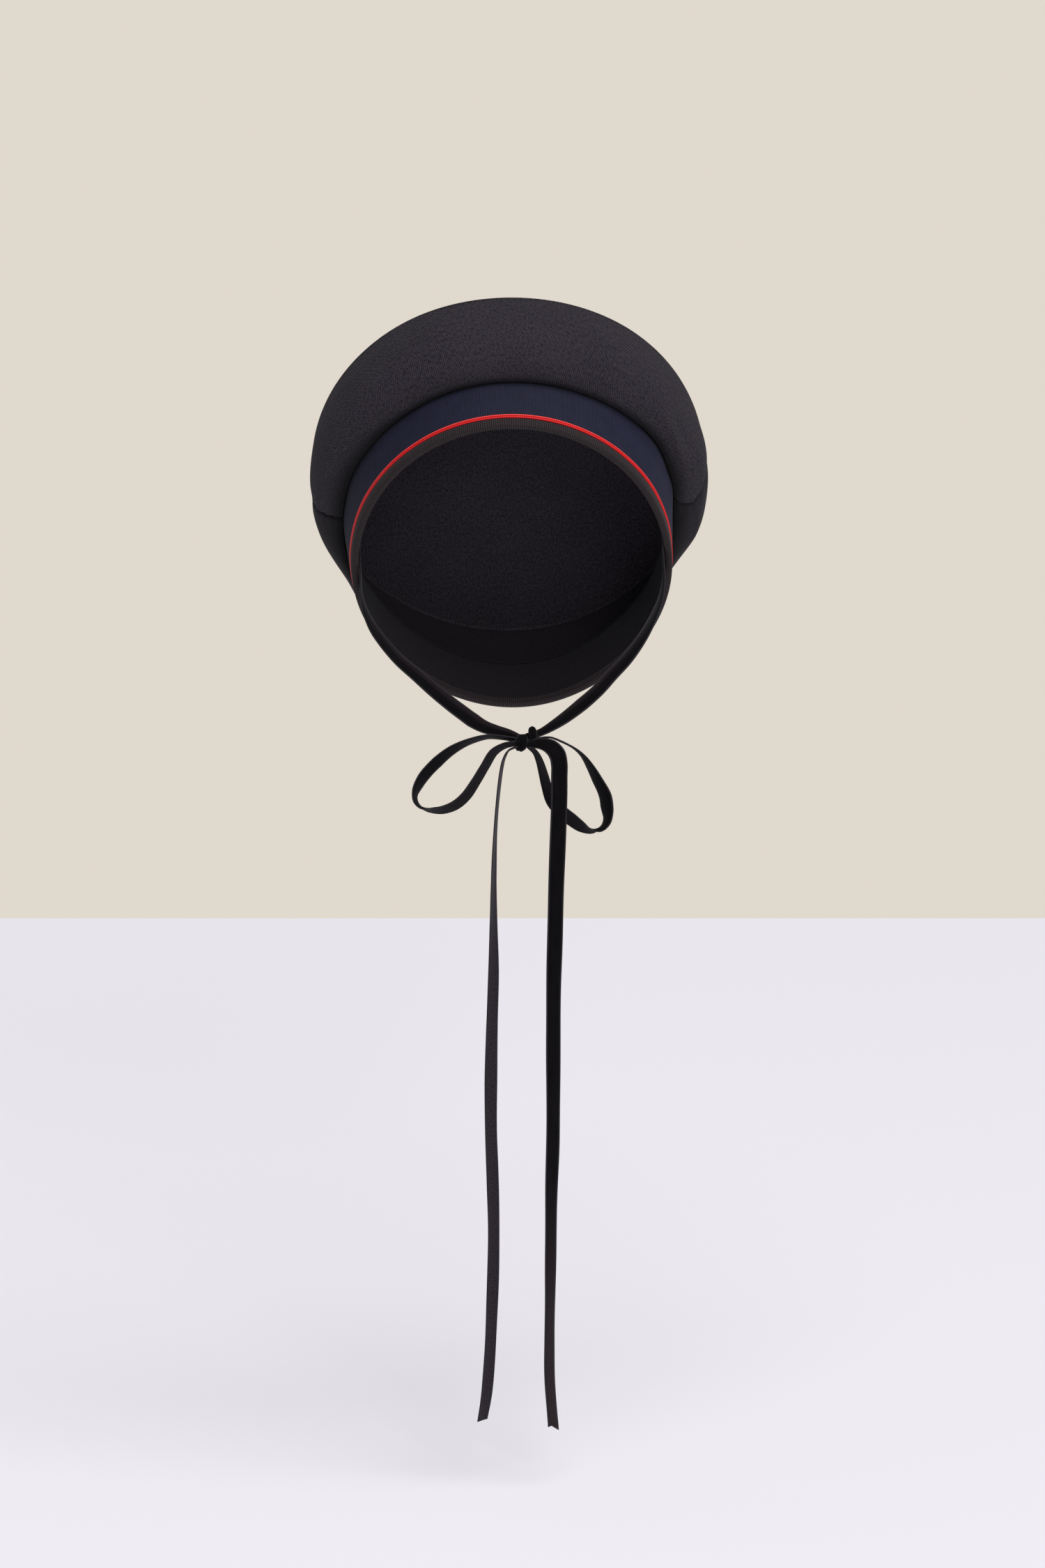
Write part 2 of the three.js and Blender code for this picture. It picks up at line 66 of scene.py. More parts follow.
# Colours in linear red, green and blue, each pair from dark to light
WALL_COLOUR = (0.752, 0.694, 0.612)
GLOW_COLOUR = (0.98, 0.97, 1.0)
FLOOR_COLOURS = ((0.785, 0.772, 0.812), (0.797, 0.784, 0.824))
# Painted shade of the fold under the crown's lip, on the woven cloth
CLOTH_FOLD_SHADE_COLOUR = (0.001, 0.001, 0.0012)
CANVAS_COLOURS = ((0.0022, 0.0018, 0.0025), (0.06, 0.05, 0.067))
FINE_CLOTH_COLOURS = ((0.005, 0.004, 0.0056), (0.022, 0.0175, 0.0245))
BAND_CLOTH_COLOURS = ((0.006, 0.005, 0.0065), (0.02, 0.017, 0.0215))
# Painted shade of the fold under the crown's lip, on the ribbon
RIBBON_FOLD_SHADE_COLOUR = (0.001, 0.001, 0.002)
RIBBON_COLOURS = ((0.003, 0.003, 0.0075), (0.0235, 0.025, 0.059))
# Painted shade in the groove between the cords, then the cords' red and the painted highlight on their lit
# edge
PIPING_GROOVE_SHADE_COLOUR = (0.07, 0.0, 0.001)
PIPING_RED_AND_GLINT_COLOURS = ((0.62, 0.002, 0.004), (0.85, 0.17, 0.15))
BINDING_COLOURS = ((0.0035, 0.0026, 0.0029), (0.043, 0.031, 0.034))
PILE_COLOURS = ((0.0008, 0.0007, 0.0009), (0.0085, 0.0072, 0.0085))
# Painted light caught by the nap
LIT_NAP_COLOURS = ((0.006, 0.004, 0.0048), (0.05, 0.034, 0.04))
SELVEDGE_COLOURS = ((0.011, 0.0098, 0.0115), (0.033, 0.03, 0.0355))
SHADED_SATIN_COLOURS = ((0.0015, 0.0013, 0.0015), (0.013, 0.011, 0.0135))
LIT_SATIN_COLOURS = ((0.003, 0.0024, 0.003), (0.03, 0.0245, 0.031))
VELVET_SHEEN_COLOUR = (0.5, 0.48, 0.52)

# Opening, band and crown, in millimetres and degrees
OPENING_HALF_WIDTH = 82.6
OPENING_HALF_LENGTH = 101.0
REAR_TAPER = 0.08
TILT_BACK = 56.6
SIDE_ROLL = 3.0
CLOTH_GAP = 0.3
BAND_WALL = 1.0
BAND_WALL_BOTTOM = 0.6
CROWN_WALL = 1.8
BAND_HEIGHT = 34.0
BAND_FLARE = 2.6
BINDING_THICKNESS = 1.0
BINDING_HEIGHT = 4.2
BINDING_INSIDE_HEIGHT = 4.0
BINDING_BEVEL = 0.35
BINDING_SHOULDER = 0.4
PIPING_LINE = 1.3
PIPING_PROUD = 1.2
PIPING_ARC = 78.0
RIBBON_THICKNESS = 1.0
RIBBON_TOP_MARGIN = 1.0
LIP_DROP = 5.0
LIP_RADIUS = 0.8
RIM_HALF_WIDTH = 106.8
RIM_FRONT_REACH = 130.5
RIM_REAR_REACH = 115.0
RIM_SHIFT_RIGHT = 0.4
RIM_SQUARENESS = 1.7
RIM_HEIGHT = 70.0
RIM_ROLL = 2.6
TOP_DOME = 5.0
PUFF_DEPTH = 6.0
SEAM_DIP = 0.7
SEAM_SOFTNESS = 3.0

TRIM_INNER = BAND_WALL + CLOTH_GAP
RIBBON_OUTER = TRIM_INNER + RIBBON_THICKNESS
PIPING_BOTTOM = BINDING_HEIGHT + CLOTH_GAP
PIPING_MIDDLE = PIPING_BOTTOM + PIPING_LINE
PIPING_TOP = PIPING_BOTTOM + 2 * PIPING_LINE
PIPING_CENTRES = (PIPING_BOTTOM + PIPING_LINE * 0.5, PIPING_BOTTOM + PIPING_LINE * 1.5)
RIBBON_BOTTOM = PIPING_TOP + CLOTH_GAP
RIBBON_TOP = BAND_HEIGHT - RIBBON_TOP_MARGIN
CROWN_SEAT = BAND_HEIGHT + CLOTH_GAP

# Fine relief, in millimetres and shares
RIB_PITCH = 0.94
RIB_DEPTH = 0.16
RIBBON_WAVER = 0.12
RIBBON_WAVER_LENGTHS = (70, 40)
BINDING_RIB_PITCH = 1.15
BINDING_RIB_DEPTH = 0.09
RIB_LEVEL = 0.6
PIPING_TWIST_PITCH = 1.15
PIPING_TWIST_DEPTH = 0.09
PIPING_TWIST_LEAN = 0.9
PICOT_PITCH = 1.05
PICOT_DEPTH = 0.1
WEAVE_PITCH = 0.64
FINE_WEAVE_PITCH = 0.45
WEFT_STRETCH = 1.12
UNDER_THREAD = 0.3
RIBBON_THREAD_PITCH = 0.32
BINDING_THREAD_PITCH = 0.5
SATIN_THREAD_PITCH = 0.62
CORNER_RADIUS = 0.3
CORNER_STEPS = 3

# Waves of the crown's cloth: on its side their length, number from band to rim and height, and on its
# top their length and height
CLOTH_WAVES = ((46, 0.9, 0.55), (19, 1.8, 0.16))
TOP_WAVES = (60, 0.55)
WAVES_IN_SUM = 7
DEGREES_IN_RADIAN = 57.3

# Puckers and tuck along a side seam: height or depth in millimetres, reach in degrees, and radians of
# the puckers' wave from band to rim
PUCKER_HEIGHT = 0.22
PUCKER_REACH = 2.6
PUCKER_RADIANS = 46
TUCK_DEPTH = 1.1
TUCK_REACH = 0.45

# Shade in the fold under the crown's lip: least light, then start and reach in front and at the sides
FOLD_LIGHT = 0.12
BAND_FOLD = (0.6, 3.0, 4.5)
CROWN_FOLD = (0.8, 5.0, 12.0)
FOLD_FRONT_ANGLE = 30
FOLD_TURN_ANGLE = 45
FOLD_LEFT_EXTRA = 0.4

# Painted shade across the piping: level at the top of both cords, and painted highlight on the upper one's
# lit edge
PIPING_ROUND_SHADE = 0.62
PIPING_GLINT = 0.42
GLINT_RISE = 0.35
GLINT_REACH = 0.33

# Velvet ribbon, in millimetres
VELVET_WIDTH = 9.5
VELVET_THICKNESS = 1.0
SELVEDGE_WIDTH = 0.8
BACK_ACROSS = 20.0
CUPPING = 0.25
SWAY = 0.12
SWAY_LENGTH = 9.0
GATHER_DEPTH = 0.77
SLANTED_ROWS = 10
TAIL_LEFT_SLANT = -0.4
TAIL_RIGHT_SLANT = 6.6
KNOT_WIDTH = 7.0
KNOT_DEPTH = 8.0
KNOT_HEIGHT = 9.4
KNOT_ROUNDNESS = 2.4
KNOT_TURN_LENGTH = 26.0
KNOT_HALF_ACROSS = 3.9
KNOT_FIRST_SHIFT = 1.1
KNOT_RIPPLE = 0.035
KNOT_SWELL = 0.02

# Light caught by the nap: its share, and the length it covers before a tail's end
STRAP_LIGHT = 0.45
TAIL_LEFT_LIGHT = 0.6
TAIL_LEFT_LIGHT_REACH = 415.0
TAIL_RIGHT_LIGHT = 0.75
TAIL_RIGHT_LIGHT_REACH = 150.0
TAIL_LIGHT_FADE = 120.0

# Steps of the meshes, seeds of their unevenness, and the weld's reach in metres
WALL_STEPS = 240
RIBBON_STEPS = 3200
PIPING_STEPS = 2600
BINDING_STEPS = 2400
FRONT_STEPS = 420
REAR_STEPS = 380
TOP_STEPS = 300
PANEL_LEVELS = 90
NORMAL_STEP = 0.01
INNER_LEVEL_STEP = 3
ROLL_ROWS = (8, 5)
DOME_ROWS = (44, 14)
KNOT_STEPS = 72
KNOT_SIDES = 40
SEAM_SAMPLES = 200
COARSE_STEPS = 24
STEPS_IN_PICOT = 4
PATH_POINTS = 120
RIBBON_SEED = 3
FRONT_SEED = 11
REAR_SEED = 15
TOP_SEED = 21
WELD_DISTANCE = 1e-7

# Side panel from the band to the rim: share of the overhang, of the height and of the swelling
PANEL_PROFILE = np.array([
    (0.0, 0.0, 0.0),
    (0.15, 0.0, 0.12),
    (0.36, 0.05, 0.4),
    (0.58, 0.15, 0.75),
    (0.77, 0.28, 1.0),
    (0.9, 0.47, 1.0),
    (0.98, 0.67, 0.75),
    (1.0, 0.85, 0.35),
    (1.0, 1.0, 0.0),
])

# Crown's shape round the cap: azimuth, puff, drop, square
CROWN_AROUND = np.array([
    (-180, 0.5, 0.6, 1.0),
    (-120, 0.25, 0.8, 0.7),
    (-90, 0.35, 1.0, 0.8),
    (-45, 0.35, 0.95, 0.45),
    (0, 0.3, 1.0, 1.0),
    (35, 0.35, 0.7, 1.0),
    (62, 0.35, 0.2, 1.0),
    (90, 0.35, 0.1, 1.0),
    (120, 0.1, 0.7, 0.2),
    (180, 0.5, 0.6, 1.0),
])
PUFF, DROP, SQUARE = 1, 2, 3

# Lean of the band: azimuth, flare
BAND_AROUND = np.array([
    (-180, 1.0),
    (-115, 1.0),
    (-95, 1.3),
    (-80, 1.9),
    (-65, 2.15),
    (-50, 1.6),
    (-30, 1.1),
    (0, 1.0),
    (25, 1.15),
    (45, 1.95),
    (60, 2.35),
    (75, 1.7),
    (90, 0.6),
    (104, -0.15),
    (125, 0.2),
    (180, 1.0),
])
FLARE = 1

# Dents of the crown's side: azimuth, level, depth, wide, tall
DENTS = (
    (62, 0.62, 0.35, 9, 0.3),
    (78, 0.5, -0.3, 8, 0.3),
    (104, 0.45, -0.15, 5, 0.35),
    (120, 0.5, 0.85, 15, 0.5),
    (-112, 0.55, 0.65, 13, 0.5),
)

# Seams of the side panels: level and azimuth from the front, on the left and on the right
SEAM_LEFT = ((0, 82), (0.12, 82.6), (0.35, 85.4), (0.55, 88), (0.8, 90.5), (1, 92))
SEAM_RIGHT = ((0, 83), (0.2, 87), (0.36, 89.3), (0.47, 88.7), (0.58, 87.1), (0.78, 84.6), (1, 83))

# Soft folds along lines on the crown's side: azimuth and level at both ends, height and half width
FOLDS = (
    (52, 0.34, 79, 0.20, 1.6, 5.0),
    (56, 0.50, 76, 0.42, -1.4, 4.5),
    (91, 0.38, 104, 0.50, 0.55, 3.2),
    (-64, 0.30, -80, 0.42, 0.7, 6.0),
    (-28, 0.62, -52, 0.46, 0.6, 6.5),
    (12, 0.72, 38, 0.60, 0.6, 6.5),
)
AZIMUTH_STEP = 1.9
LEVEL_SPAN = 75.0
FOLD_END_FADE = 1.4

# Routes of the velvet ribbon: x, y, z, turn, gather
TURN, GATHER = 3, 4
STRAP_LEFT = (
    (-82.8, -1, 27, -12, 1),
    (-82.3, -1, 12, -8, 1),
    (-81.5, -1, -3, 0, 1),
    (-81.3, -3, -12, 4, 1),
    (-79.4, -9, -19.5, 10, 1),
    (-74.9, -22, -27.5, 18, 1),
    (-68.5, -35, -34.5, 25, 1),
    (-59.7, -47, -42.2, 31, 1),
    (-50.6, -53.8, -48.8, 36, 1),
    (-41.8, -58.8, -55.6, 40, 1),
    (-32.9, -62.8, -62.2, 43, 1),
    (-26.8, -65.2, -66.4, 46, 1),
    (-20.8, -67, -70.5, 48, 1),
    (-14.8, -68.4, -73.7, 48, 0.85),
    (-8.3, -69.8, -75.5, 48, 0.7),
    (-1.8, -70.8, -76.9, 48, 0.55),
    (5.4, -73.6, -79.4, 48, 0.4),
)
STRAP_RIGHT = (
    (79.6, -1, 36, 12, 1),
    (80.7, -1, 20, 8, 1),
    (81.2, -1, 6, 0, 1),
    (81.3, -2, -5, -4, 1),
    (79.6, -8, -14, -10, 1),
    (75.4, -20, -23, -20, 1),
    (69.2, -33, -32, -26, 1),
    (61.2, -44.5, -41, -31, 1),
    (53.2, -53, -48.2, -35, 1),
    (45.4, -60.5, -55.4, -38, 1),
    (37.1, -64.5, -62.1, -39, 1),
    (27.8, -67.5, -68.9, -38, 0.85),
    (21.3, -69.4, -72.9, -37, 0.7),
    (15.8, -70.6, -75.8, -36, 0.55),
    (10.4, -72.3, -77.6, -34, 0.5),
)
LOOP_LEFT = (
    (2.6, -74.6, -79.4, 34, 0.5),
    (-5.5, -76, -77.8, 26, 0.75),
    (-12.8, -77.5, -77.1, 24, 0.95),
    (-23, -80, -79.3, 30, 1),
    (-32, -82, -83.5, 41, 1),
    (-39.6, -83.2, -89.5, 48, 1),
    (-46.4, -83.5, -96.8, 44, 1),
    (-50.1, -83, -103.5, 33, 1),
    (-51, -81.5, -109.7, 14, 1),
    (-48.4, -79, -114.7, -10, 1),
    (-42.9, -76.5, -117, -30, 1),
    (-36.5, -74.5, -117.4, -38, 1),
    (-30, -73, -115.3, -41, 1),
    (-24.5, -72, -110.8, -40, 1),
    (-19.2, -72, -103, -37, 1),
    (-14.2, -72.6, -94.4, -36, 1),
    (-9.4, -73.6, -86.4, -37, 0.95),
    (-4.1, -74.6, -82.8, -36, 0.75),
    (2.4, -75.9, -81, -40, 0.5),
)
LOOP_RIGHT = (
    (11.6, -74.3, -79.2, -20, 0.5),
    (19.9, -75.5, -77.9, -12, 0.75),
    (26.4, -76.5, -80.1, -10, 0.95),
    (32.4, -77.5, -83.1, -12, 1),
    (37.2, -78, -87.3, -18, 1),
    (41.3, -78.4, -93.2, -28, 1),
    (45.3, -78.4, -100.6, -38, 1),
    (49.2, -78, -108.6, -46, 1),
    (50.3, -77, -115.9, -46, 1),
    (50, -75.5, -122.2, -32, 1),
    (47.2, -73, -127.2, -4, 1),
    (42.2, -71, -129, 28, 1),
    (36.8, -69.5, -127.2, 48, 1),
    (31.4, -68.8, -123.4, 56, 1),
    (26.3, -68.6, -119.3, 56, 1),
    (21.8, -68.8, -114.1, 50, 1),
    (18.9, -69.4, -106.4, 38, 1),
    (16.9, -70.4, -98.5, 31, 1),
    (15, -71.8, -91.6, 28, 0.9),
    (12.8, -73.2, -86.8, 28, 0.7),
    (8.6, -75.2, -82.6, 30, 0.5),
)
TAIL_LEFT = (
    (2.6, -77.9, -82.6, 10, 0.5),
    (-1.8, -79.5, -84.4, 8, 0.75),
    (-4.3, -80.4, -88.5, 8, 0.95),
    (-5.6, -81, -93.5, 8, 1),
    (-7.6, -81.8, -109.4, 9, 1),
    (-9.2, -82, -131, 11, 1),
    (-9.9, -82, -155, 15, 1),
    (-10, -82, -178.5, 26, 1),
    (-10, -82, -204, 34, 1),
    (-10.9, -82, -236, 41, 1),
    (-11.4, -82, -263, 43, 1),
    (-11.4, -82, -290, 42, 1),
    (-10.6, -82, -316, 40, 1),
    (-10, -82, -342, 40, 1),
    (-10.2, -82, -365, 40, 1),
    (-11, -82, -390, 40, 1),
    (-12.2, -82, -416, 39, 1),
    (-14, -82, -438, 37, 1),
    (-16.2, -82, -451.5, 35, 1),
)
TAIL_RIGHT = (
    (8, -78.4, -80.9, 40, 0.5),
    (15.6, -81.4, -80.3, 50, 0.7),
    (20.4, -83.2, -81.6, 60, 0.9),
    (23.8, -84.6, -85.2, 66, 1),
    (25, -85, -90.6, 66, 1),
    (25, -84.8, -97.5, 66, 1),
    (25, -84.4, -108, 66, 1),
    (24.3, -84, -130.6, 64, 1),
    (23.4, -84, -156, 62, 1),
    (22.8, -84, -183, 60, 1),
    (22.1, -84, -210, 56, 1),
    (21.9, -84, -240, 53, 1),
    (21.9, -84, -269, 51, 1),
    (21.7, -84, -297, 48, 1),
    (20.9, -84, -324, 44, 1),
    (20.6, -84, -351, 39, 1),
    (20.3, -84, -378, 36, 1),
    (19.9, -84, -405, 34, 1),
    (20, -84, -427, 34, 1),
    (21.3, -84, -446, 35, 1),
    (22, -84, -454.5, 36, 1),
)

# Lumps of the knot: x, y, z, wide, deep, tall, lean
KNOT_LUMPS = (
    (5, -76.4, -80.6, 1, 1, 1, 14),
    (11.1, -75.8, -75.7, 0.66, 0.75, 0.8, -12),
    (8.2, -74, -78.6, 1.1, 0.62, 0.55, -20),
)


def link(obj):
    bpy.context.scene.collection.objects.link(obj)
    return obj


def camera():
    data = bpy.data.cameras.new("camera")
    data.lens = CAMERA_LENS
    data.sensor_width = CAMERA_SENSOR
    data.clip_end = CAMERA_FAR * MM
    obj = link(bpy.data.objects.new("camera", data))
    obj.location = [value * MM for value in CAMERA_PLACE]
    obj.rotation_euler = (math.radians(90 - CAMERA_PITCH), 0, 0)
    bpy.context.scene.camera = obj


# Eases from 0 to 1, level at both ends.
def smooth_share(value):
    value = np.clip(value, 0, 1)
    return value * value * (3 - 2 * value)


def unit(vectors):
    return vectors / np.linalg.norm(vectors, axis=-1, keepdims=True)


# Square root of the distance between points, never zero.
def root_gap(a, b):
    return np.maximum(((a - b) ** 2).sum(1) ** 0.25, 1e-4)[:, None]


# Centripetal Catmull-Rom through the points, at values from 0 to 1 spaced evenly over the spans.
def spline(points, values):
    points = np.asarray(points, float)
    last = len(points) - 1
    before = 2 * points[0] - points[1]
    after = 2 * points[last] - points[last - 1]
    padded = np.vstack([before, points, after])
    at = np.clip(values, 0, 1) * last
    index = np.minimum(at.astype(int), last - 1)
    weight = (at - index)[:, None]
    p0, p1, p2, p3 = (padded[index + step] for step in range(4))
    g0, g1, g2 = root_gap(p0, p1), root_gap(p1, p2), root_gap(p2, p3)
    slope1 = ((p1 - p0) / g0 - (p2 - p0) / (g0 + g1) + (p2 - p1) / g1) * g1
    slope2 = ((p2 - p1) / g1 - (p3 - p1) / (g1 + g2) + (p3 - p2) / g2) * g1
    square = -3 * p1 + 3 * p2 - 2 * slope1 - slope2
    cube = 2 * p1 - 2 * p2 + slope1 + slope2
    return p1 + slope1 * weight + square * weight ** 2 + cube * weight ** 3


# Azimuth from -180 to 180 degrees, with 0 in front.
def from_front(azimuth):
    return np.mod(azimuth + 180, 360) - 180


# Reads one column of a table at many azimuths, easing smoothly from row to row.
def around(rows, column, azimuth):
    turned = from_front(np.asarray(azimuth, float))
    index = np.clip(np.searchsorted(rows[:, 0], turned, side="left") - 1, 0, len(rows) - 2)
    low, high = rows[index, 0], rows[index + 1, 0]
    share = smooth_share((turned - low) / (high - low))
    return rows[index, column] * (1 - share) + rows[index + 1, column] * share


def ellipse(half_width, front_reach, rear_reach, height, azimuth):
    half_length = (front_reach + rear_reach) / 2
    centre = (rear_reach - front_reach) / 2
    across = np.sin(np.radians(azimuth))
    forward = np.cos(np.radians(azimuth))
    taper = 1 - REAR_TAPER * np.minimum(forward, 0) ** 2
    x = half_width * taper * across
    y = centre - half_length * forward
    return np.stack(np.broadcast_arrays(x, y, height), -1)


def band_point(azimuth, out, height):
    flare = BAND_FLARE * around(BAND_AROUND, FLARE, azimuth)
    grow = BINDING_THICKNESS + CLOTH_GAP + flare * (height / BAND_HEIGHT) + out
    reach = OPENING_HALF_LENGTH + grow
    return ellipse(OPENING_HALF_WIDTH + grow, reach, reach, height, azimuth)


def rim_point(azimuth, inset, height):
    share = around(CROWN_AROUND, SQUARE, azimuth)
    grow = RIM_SQUARENESS * share * np.sin(2 * np.radians(azimuth)) ** 2 - inset
    point = ellipse(RIM_HALF_WIDTH + grow, RIM_FRONT_REACH + grow, RIM_REAR_REACH + grow, height, azimuth)
    point[..., 0] += RIM_SHIFT_RIGHT
    return point


def lip_point(azimuth):
    drop = LIP_DROP * around(CROWN_AROUND, DROP, azimuth)
    return band_point(azimuth, RIBBON_OUTER + CLOTH_GAP + LIP_RADIUS, CROWN_SEAT - drop)


def seam_curve(rows):
    curve = spline(np.array(rows, float), np.linspace(0, 1, SEAM_SAMPLES))
    return lambda level: np.interp(level, curve[:, 0], curve[:, 1])


left_seam = seam_curve(SEAM_LEFT)
right_seam = seam_curve(SEAM_RIGHT)


# Height of the soft folds, each fading out towards both ends of its line.
def fold_height(azimuth, level):
    x, y = from_front(azimuth) * AZIMUTH_STEP, level * LEVEL_SPAN
    total = np.zeros_like(x)
    for azimuth_from, level_from, azimuth_to, level_to, height, width in FOLDS:
        x1, y1 = azimuth_from * AZIMUTH_STEP, level_from * LEVEL_SPAN
        x2, y2 = azimuth_to * AZIMUTH_STEP, level_to * LEVEL_SPAN
        reach = np.hypot(x2 - x1, y2 - y1)
        along = ((x - x1) * (x2 - x1) + (y - y1) * (y2 - y1)) / reach
        aside = ((x - x1) * (y2 - y1) - (y - y1) * (x2 - x1)) / reach
        ends = 1 - smooth_share(np.abs(along / reach - 0.5) * FOLD_END_FADE)
        total = total + height * np.exp(-(aside / width) ** 2) * ends
    return total


# How far the crown's side stands out from its plain shape: swelling, dents, seam dips and folds.
def swell_height(azimuth, level, swelling):
    swell = PUFF_DEPTH * around(CROWN_AROUND, PUFF, azimuth) * swelling
    for at, height, depth, wide, tall in DENTS:
        fade = np.exp(-(from_front(azimuth - at) / wide) ** 2 - ((level - height) / tall) ** 2)
        swell = swell - PUFF_DEPTH * depth * fade * np.sin(np.pi * level)
    turned = from_front(azimuth)
    from_seam = np.where(turned > 0, turned - right_seam(level), -turned - left_seam(level))
    return swell - SEAM_DIP * np.exp(-(from_seam / SEAM_SOFTNESS) ** 2) + fold_height(azimuth, level)


# Outer skin of the crown's side, from the lip over the ribbon at level 0 to the rim at level 1.
def crown_point(azimuth, level):
    azimuth, level = np.broadcast_arrays(np.asarray(azimuth, float), np.asarray(level, float))
    shape = spline(PANEL_PROFILE, level.ravel()).reshape(level.shape + (3,))
    overhang, rise, swelling = shape[..., 0], shape[..., 1], shape[..., 2]
    share = np.stack([overhang, overhang, rise], -1)
    lip = lip_point(azimuth)
    plain = lip * (1 - share) + rim_point(azimuth, 0, RIM_HEIGHT) * share
    outward = unit(lip * [1 / OPENING_HALF_WIDTH, 1 / OPENING_HALF_LENGTH, 0])
    return plain + outward * swell_height(azimuth, level, swelling)[..., None]


# From the cap's own upright frame to the worn pose.
def worn(points):
    tilt, roll = math.radians(TILT_BACK), math.radians(SIDE_ROLL)
    x, y, z = points[..., 0], points[..., 1], points[..., 2]
    back = y * math.cos(tilt) + z * math.sin(tilt)
    up = -y * math.sin(tilt) + z * math.cos(tilt)
    return np.stack([
        x * math.cos(roll) - up * math.sin(roll),
        back,
        x * math.sin(roll) + up * math.cos(roll),
    ], -1)


# Smooth unevenness from -1 to 1: a sum of a few waves with seeded directions and phases.
def unevenness(u, v, seed):
    rng = np.random.default_rng(seed)
    total = 0
    for _ in range(WAVES_IN_SUM):
        along, aside, phase = rng.uniform(-1, 1), rng.uniform(-1, 1), rng.uniform(0, 2 * np.pi)
        total = total + np.sin(2 * np.pi * (along * u + aside * v) + phase)
    return total / WAVES_IN_SUM


# Shade near the fold under the crown's lip, from dark to full light. Its reach is wider at the
# sides than in front, and widest on the left.
def fold_shade(distance, azimuth, start, front, side):
    turned = from_front(azimuth)
    sideways = side * (1 + FOLD_LEFT_EXTRA * (turned < 0))
    reach = front + (sideways - front) * smooth_share((np.abs(turned) - FOLD_FRONT_ANGLE) / FOLD_TURN_ANGLE)
    return FOLD_LIGHT + (1 - FOLD_LIGHT) * smooth_share((distance + start) / reach)


# Six times the volume inside closed quads, below zero where they face inwards.
def signed_volume(points, quads):
    a, b, c, d = (points[quads[:, place]] for place in range(4))
    return (np.einsum("ij,ij->i", a, np.cross(b, c)) + np.einsum("ij,ij->i", a, np.cross(c, d))).sum()


# Builds one smooth mesh object from a grid of points, with uv lengths, both in millimetres. A grid
# that is open along its rows gets a cap at both ends.
def grid_object(name, points, uv, close_rows=True, close_columns=True, shade=None):
    rows, columns = points.shape[:2]
    flat = points.reshape(-1, 3) * MM
    row_at = np.arange(rows if close_rows else rows - 1)
    column_at = np.arange(columns if close_columns else columns - 1)
    r, c = (index.ravel() for index in np.meshgrid(row_at, column_at, indexing="ij"))
    here, onward, beside = r * columns, (r + 1) % rows * columns, (c + 1) % columns
    corners = np.stack([here + c, here + beside, onward + beside, onward + c], -1)
    corner_uv = np.stack([uv[r, c], uv[r, c + 1], uv[r + 1, c + 1], uv[r + 1, c]], 1)
    inside_out = signed_volume(flat, corners) < 0
    if inside_out:
        corners, corner_uv = corners[:, ::-1], corner_uv[:, ::-1]
    faces = corners.tolist()
    uvs = corner_uv.reshape(-1, 2)
    if not close_rows:
        first = list(range(columns))
        last = [(rows - 1) * columns + place for place in range(columns)]
        faces += [first, last[::-1]] if inside_out else [first[::-1], last]
        uvs = np.vstack([uvs, np.repeat(uvs[:1], 2 * columns, 0)])
    shading = np.ones(len(flat)) if shade is None else shade.ravel()
    mesh = bpy.data.meshes.new(name)
    mesh.from_pydata(flat.tolist(), [], faces)
    mesh.uv_layers.new(name="lengths").data.foreach_set("uv", uvs.astype(np.float32).ravel())
    mesh.attributes.new("shade", "FLOAT", "POINT").data.foreach_set("value", shading.astype(np.float32))
    mesh.polygons.foreach_set("use_smooth", np.ones(len(faces), bool))
    mesh.update()
    return link(bpy.data.objects.new(name, mesh))


# Joins the points that meet at a pole, so that the piece is one closed skin.
def weld(obj):
    mesh = bmesh.new()
    mesh.from_mesh(obj.data)
    bmesh.ops.remove_doubles(mesh, verts=mesh.verts, dist=WELD_DISTANCE)
    loose = [edge for edge in mesh.edges if not edge.link_faces]
    bmesh.ops.delete(mesh, geom=loose, context="EDGES")
    mesh.to_mesh(obj.data)
    mesh.free()


# Lengths along a grid and round its closed columns, with one more entry where it closes.
def wrapped_lengths(points, close_rows):
    full = np.concatenate([points, points[:1]]) if close_rows else points
    full = np.concatenate([full, full[:, :1]], 1)
    row_step = np.linalg.norm(np.diff(full, axis=0), axis=-1).mean(1)
    column_step = np.linalg.norm(np.diff(full, axis=1), axis=-1).mean(0)
    u, v = (np.concatenate([[0], np.cumsum(step)]) for step in (row_step, column_step))
    return np.stack(np.meshgrid(u, v, indexing="ij"), -1)


def finish_piece(obj, node, material):
    obj.data.materials.append(material)
    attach(obj, "root")
    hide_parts(node)


# Mixes two colours, each a colour or a socket that gives one.
def mix_colours(tree, share, low, high):
    node = tree.nodes.new("ShaderNodeMix")
    node.data_type = "RGBA"
    tree.links.new(share, node.inputs["Factor"])
    for name, colour in (("A", low), ("B", high)):
        socket = next(s for s in node.inputs if s.name == name and s.type == "RGBA")
        if isinstance(colour, tuple):
            socket.default_value = (*colour, 1)
        else:
            tree.links.new(colour, socket)
    return next(s for s in node.outputs if s.type == "RGBA")


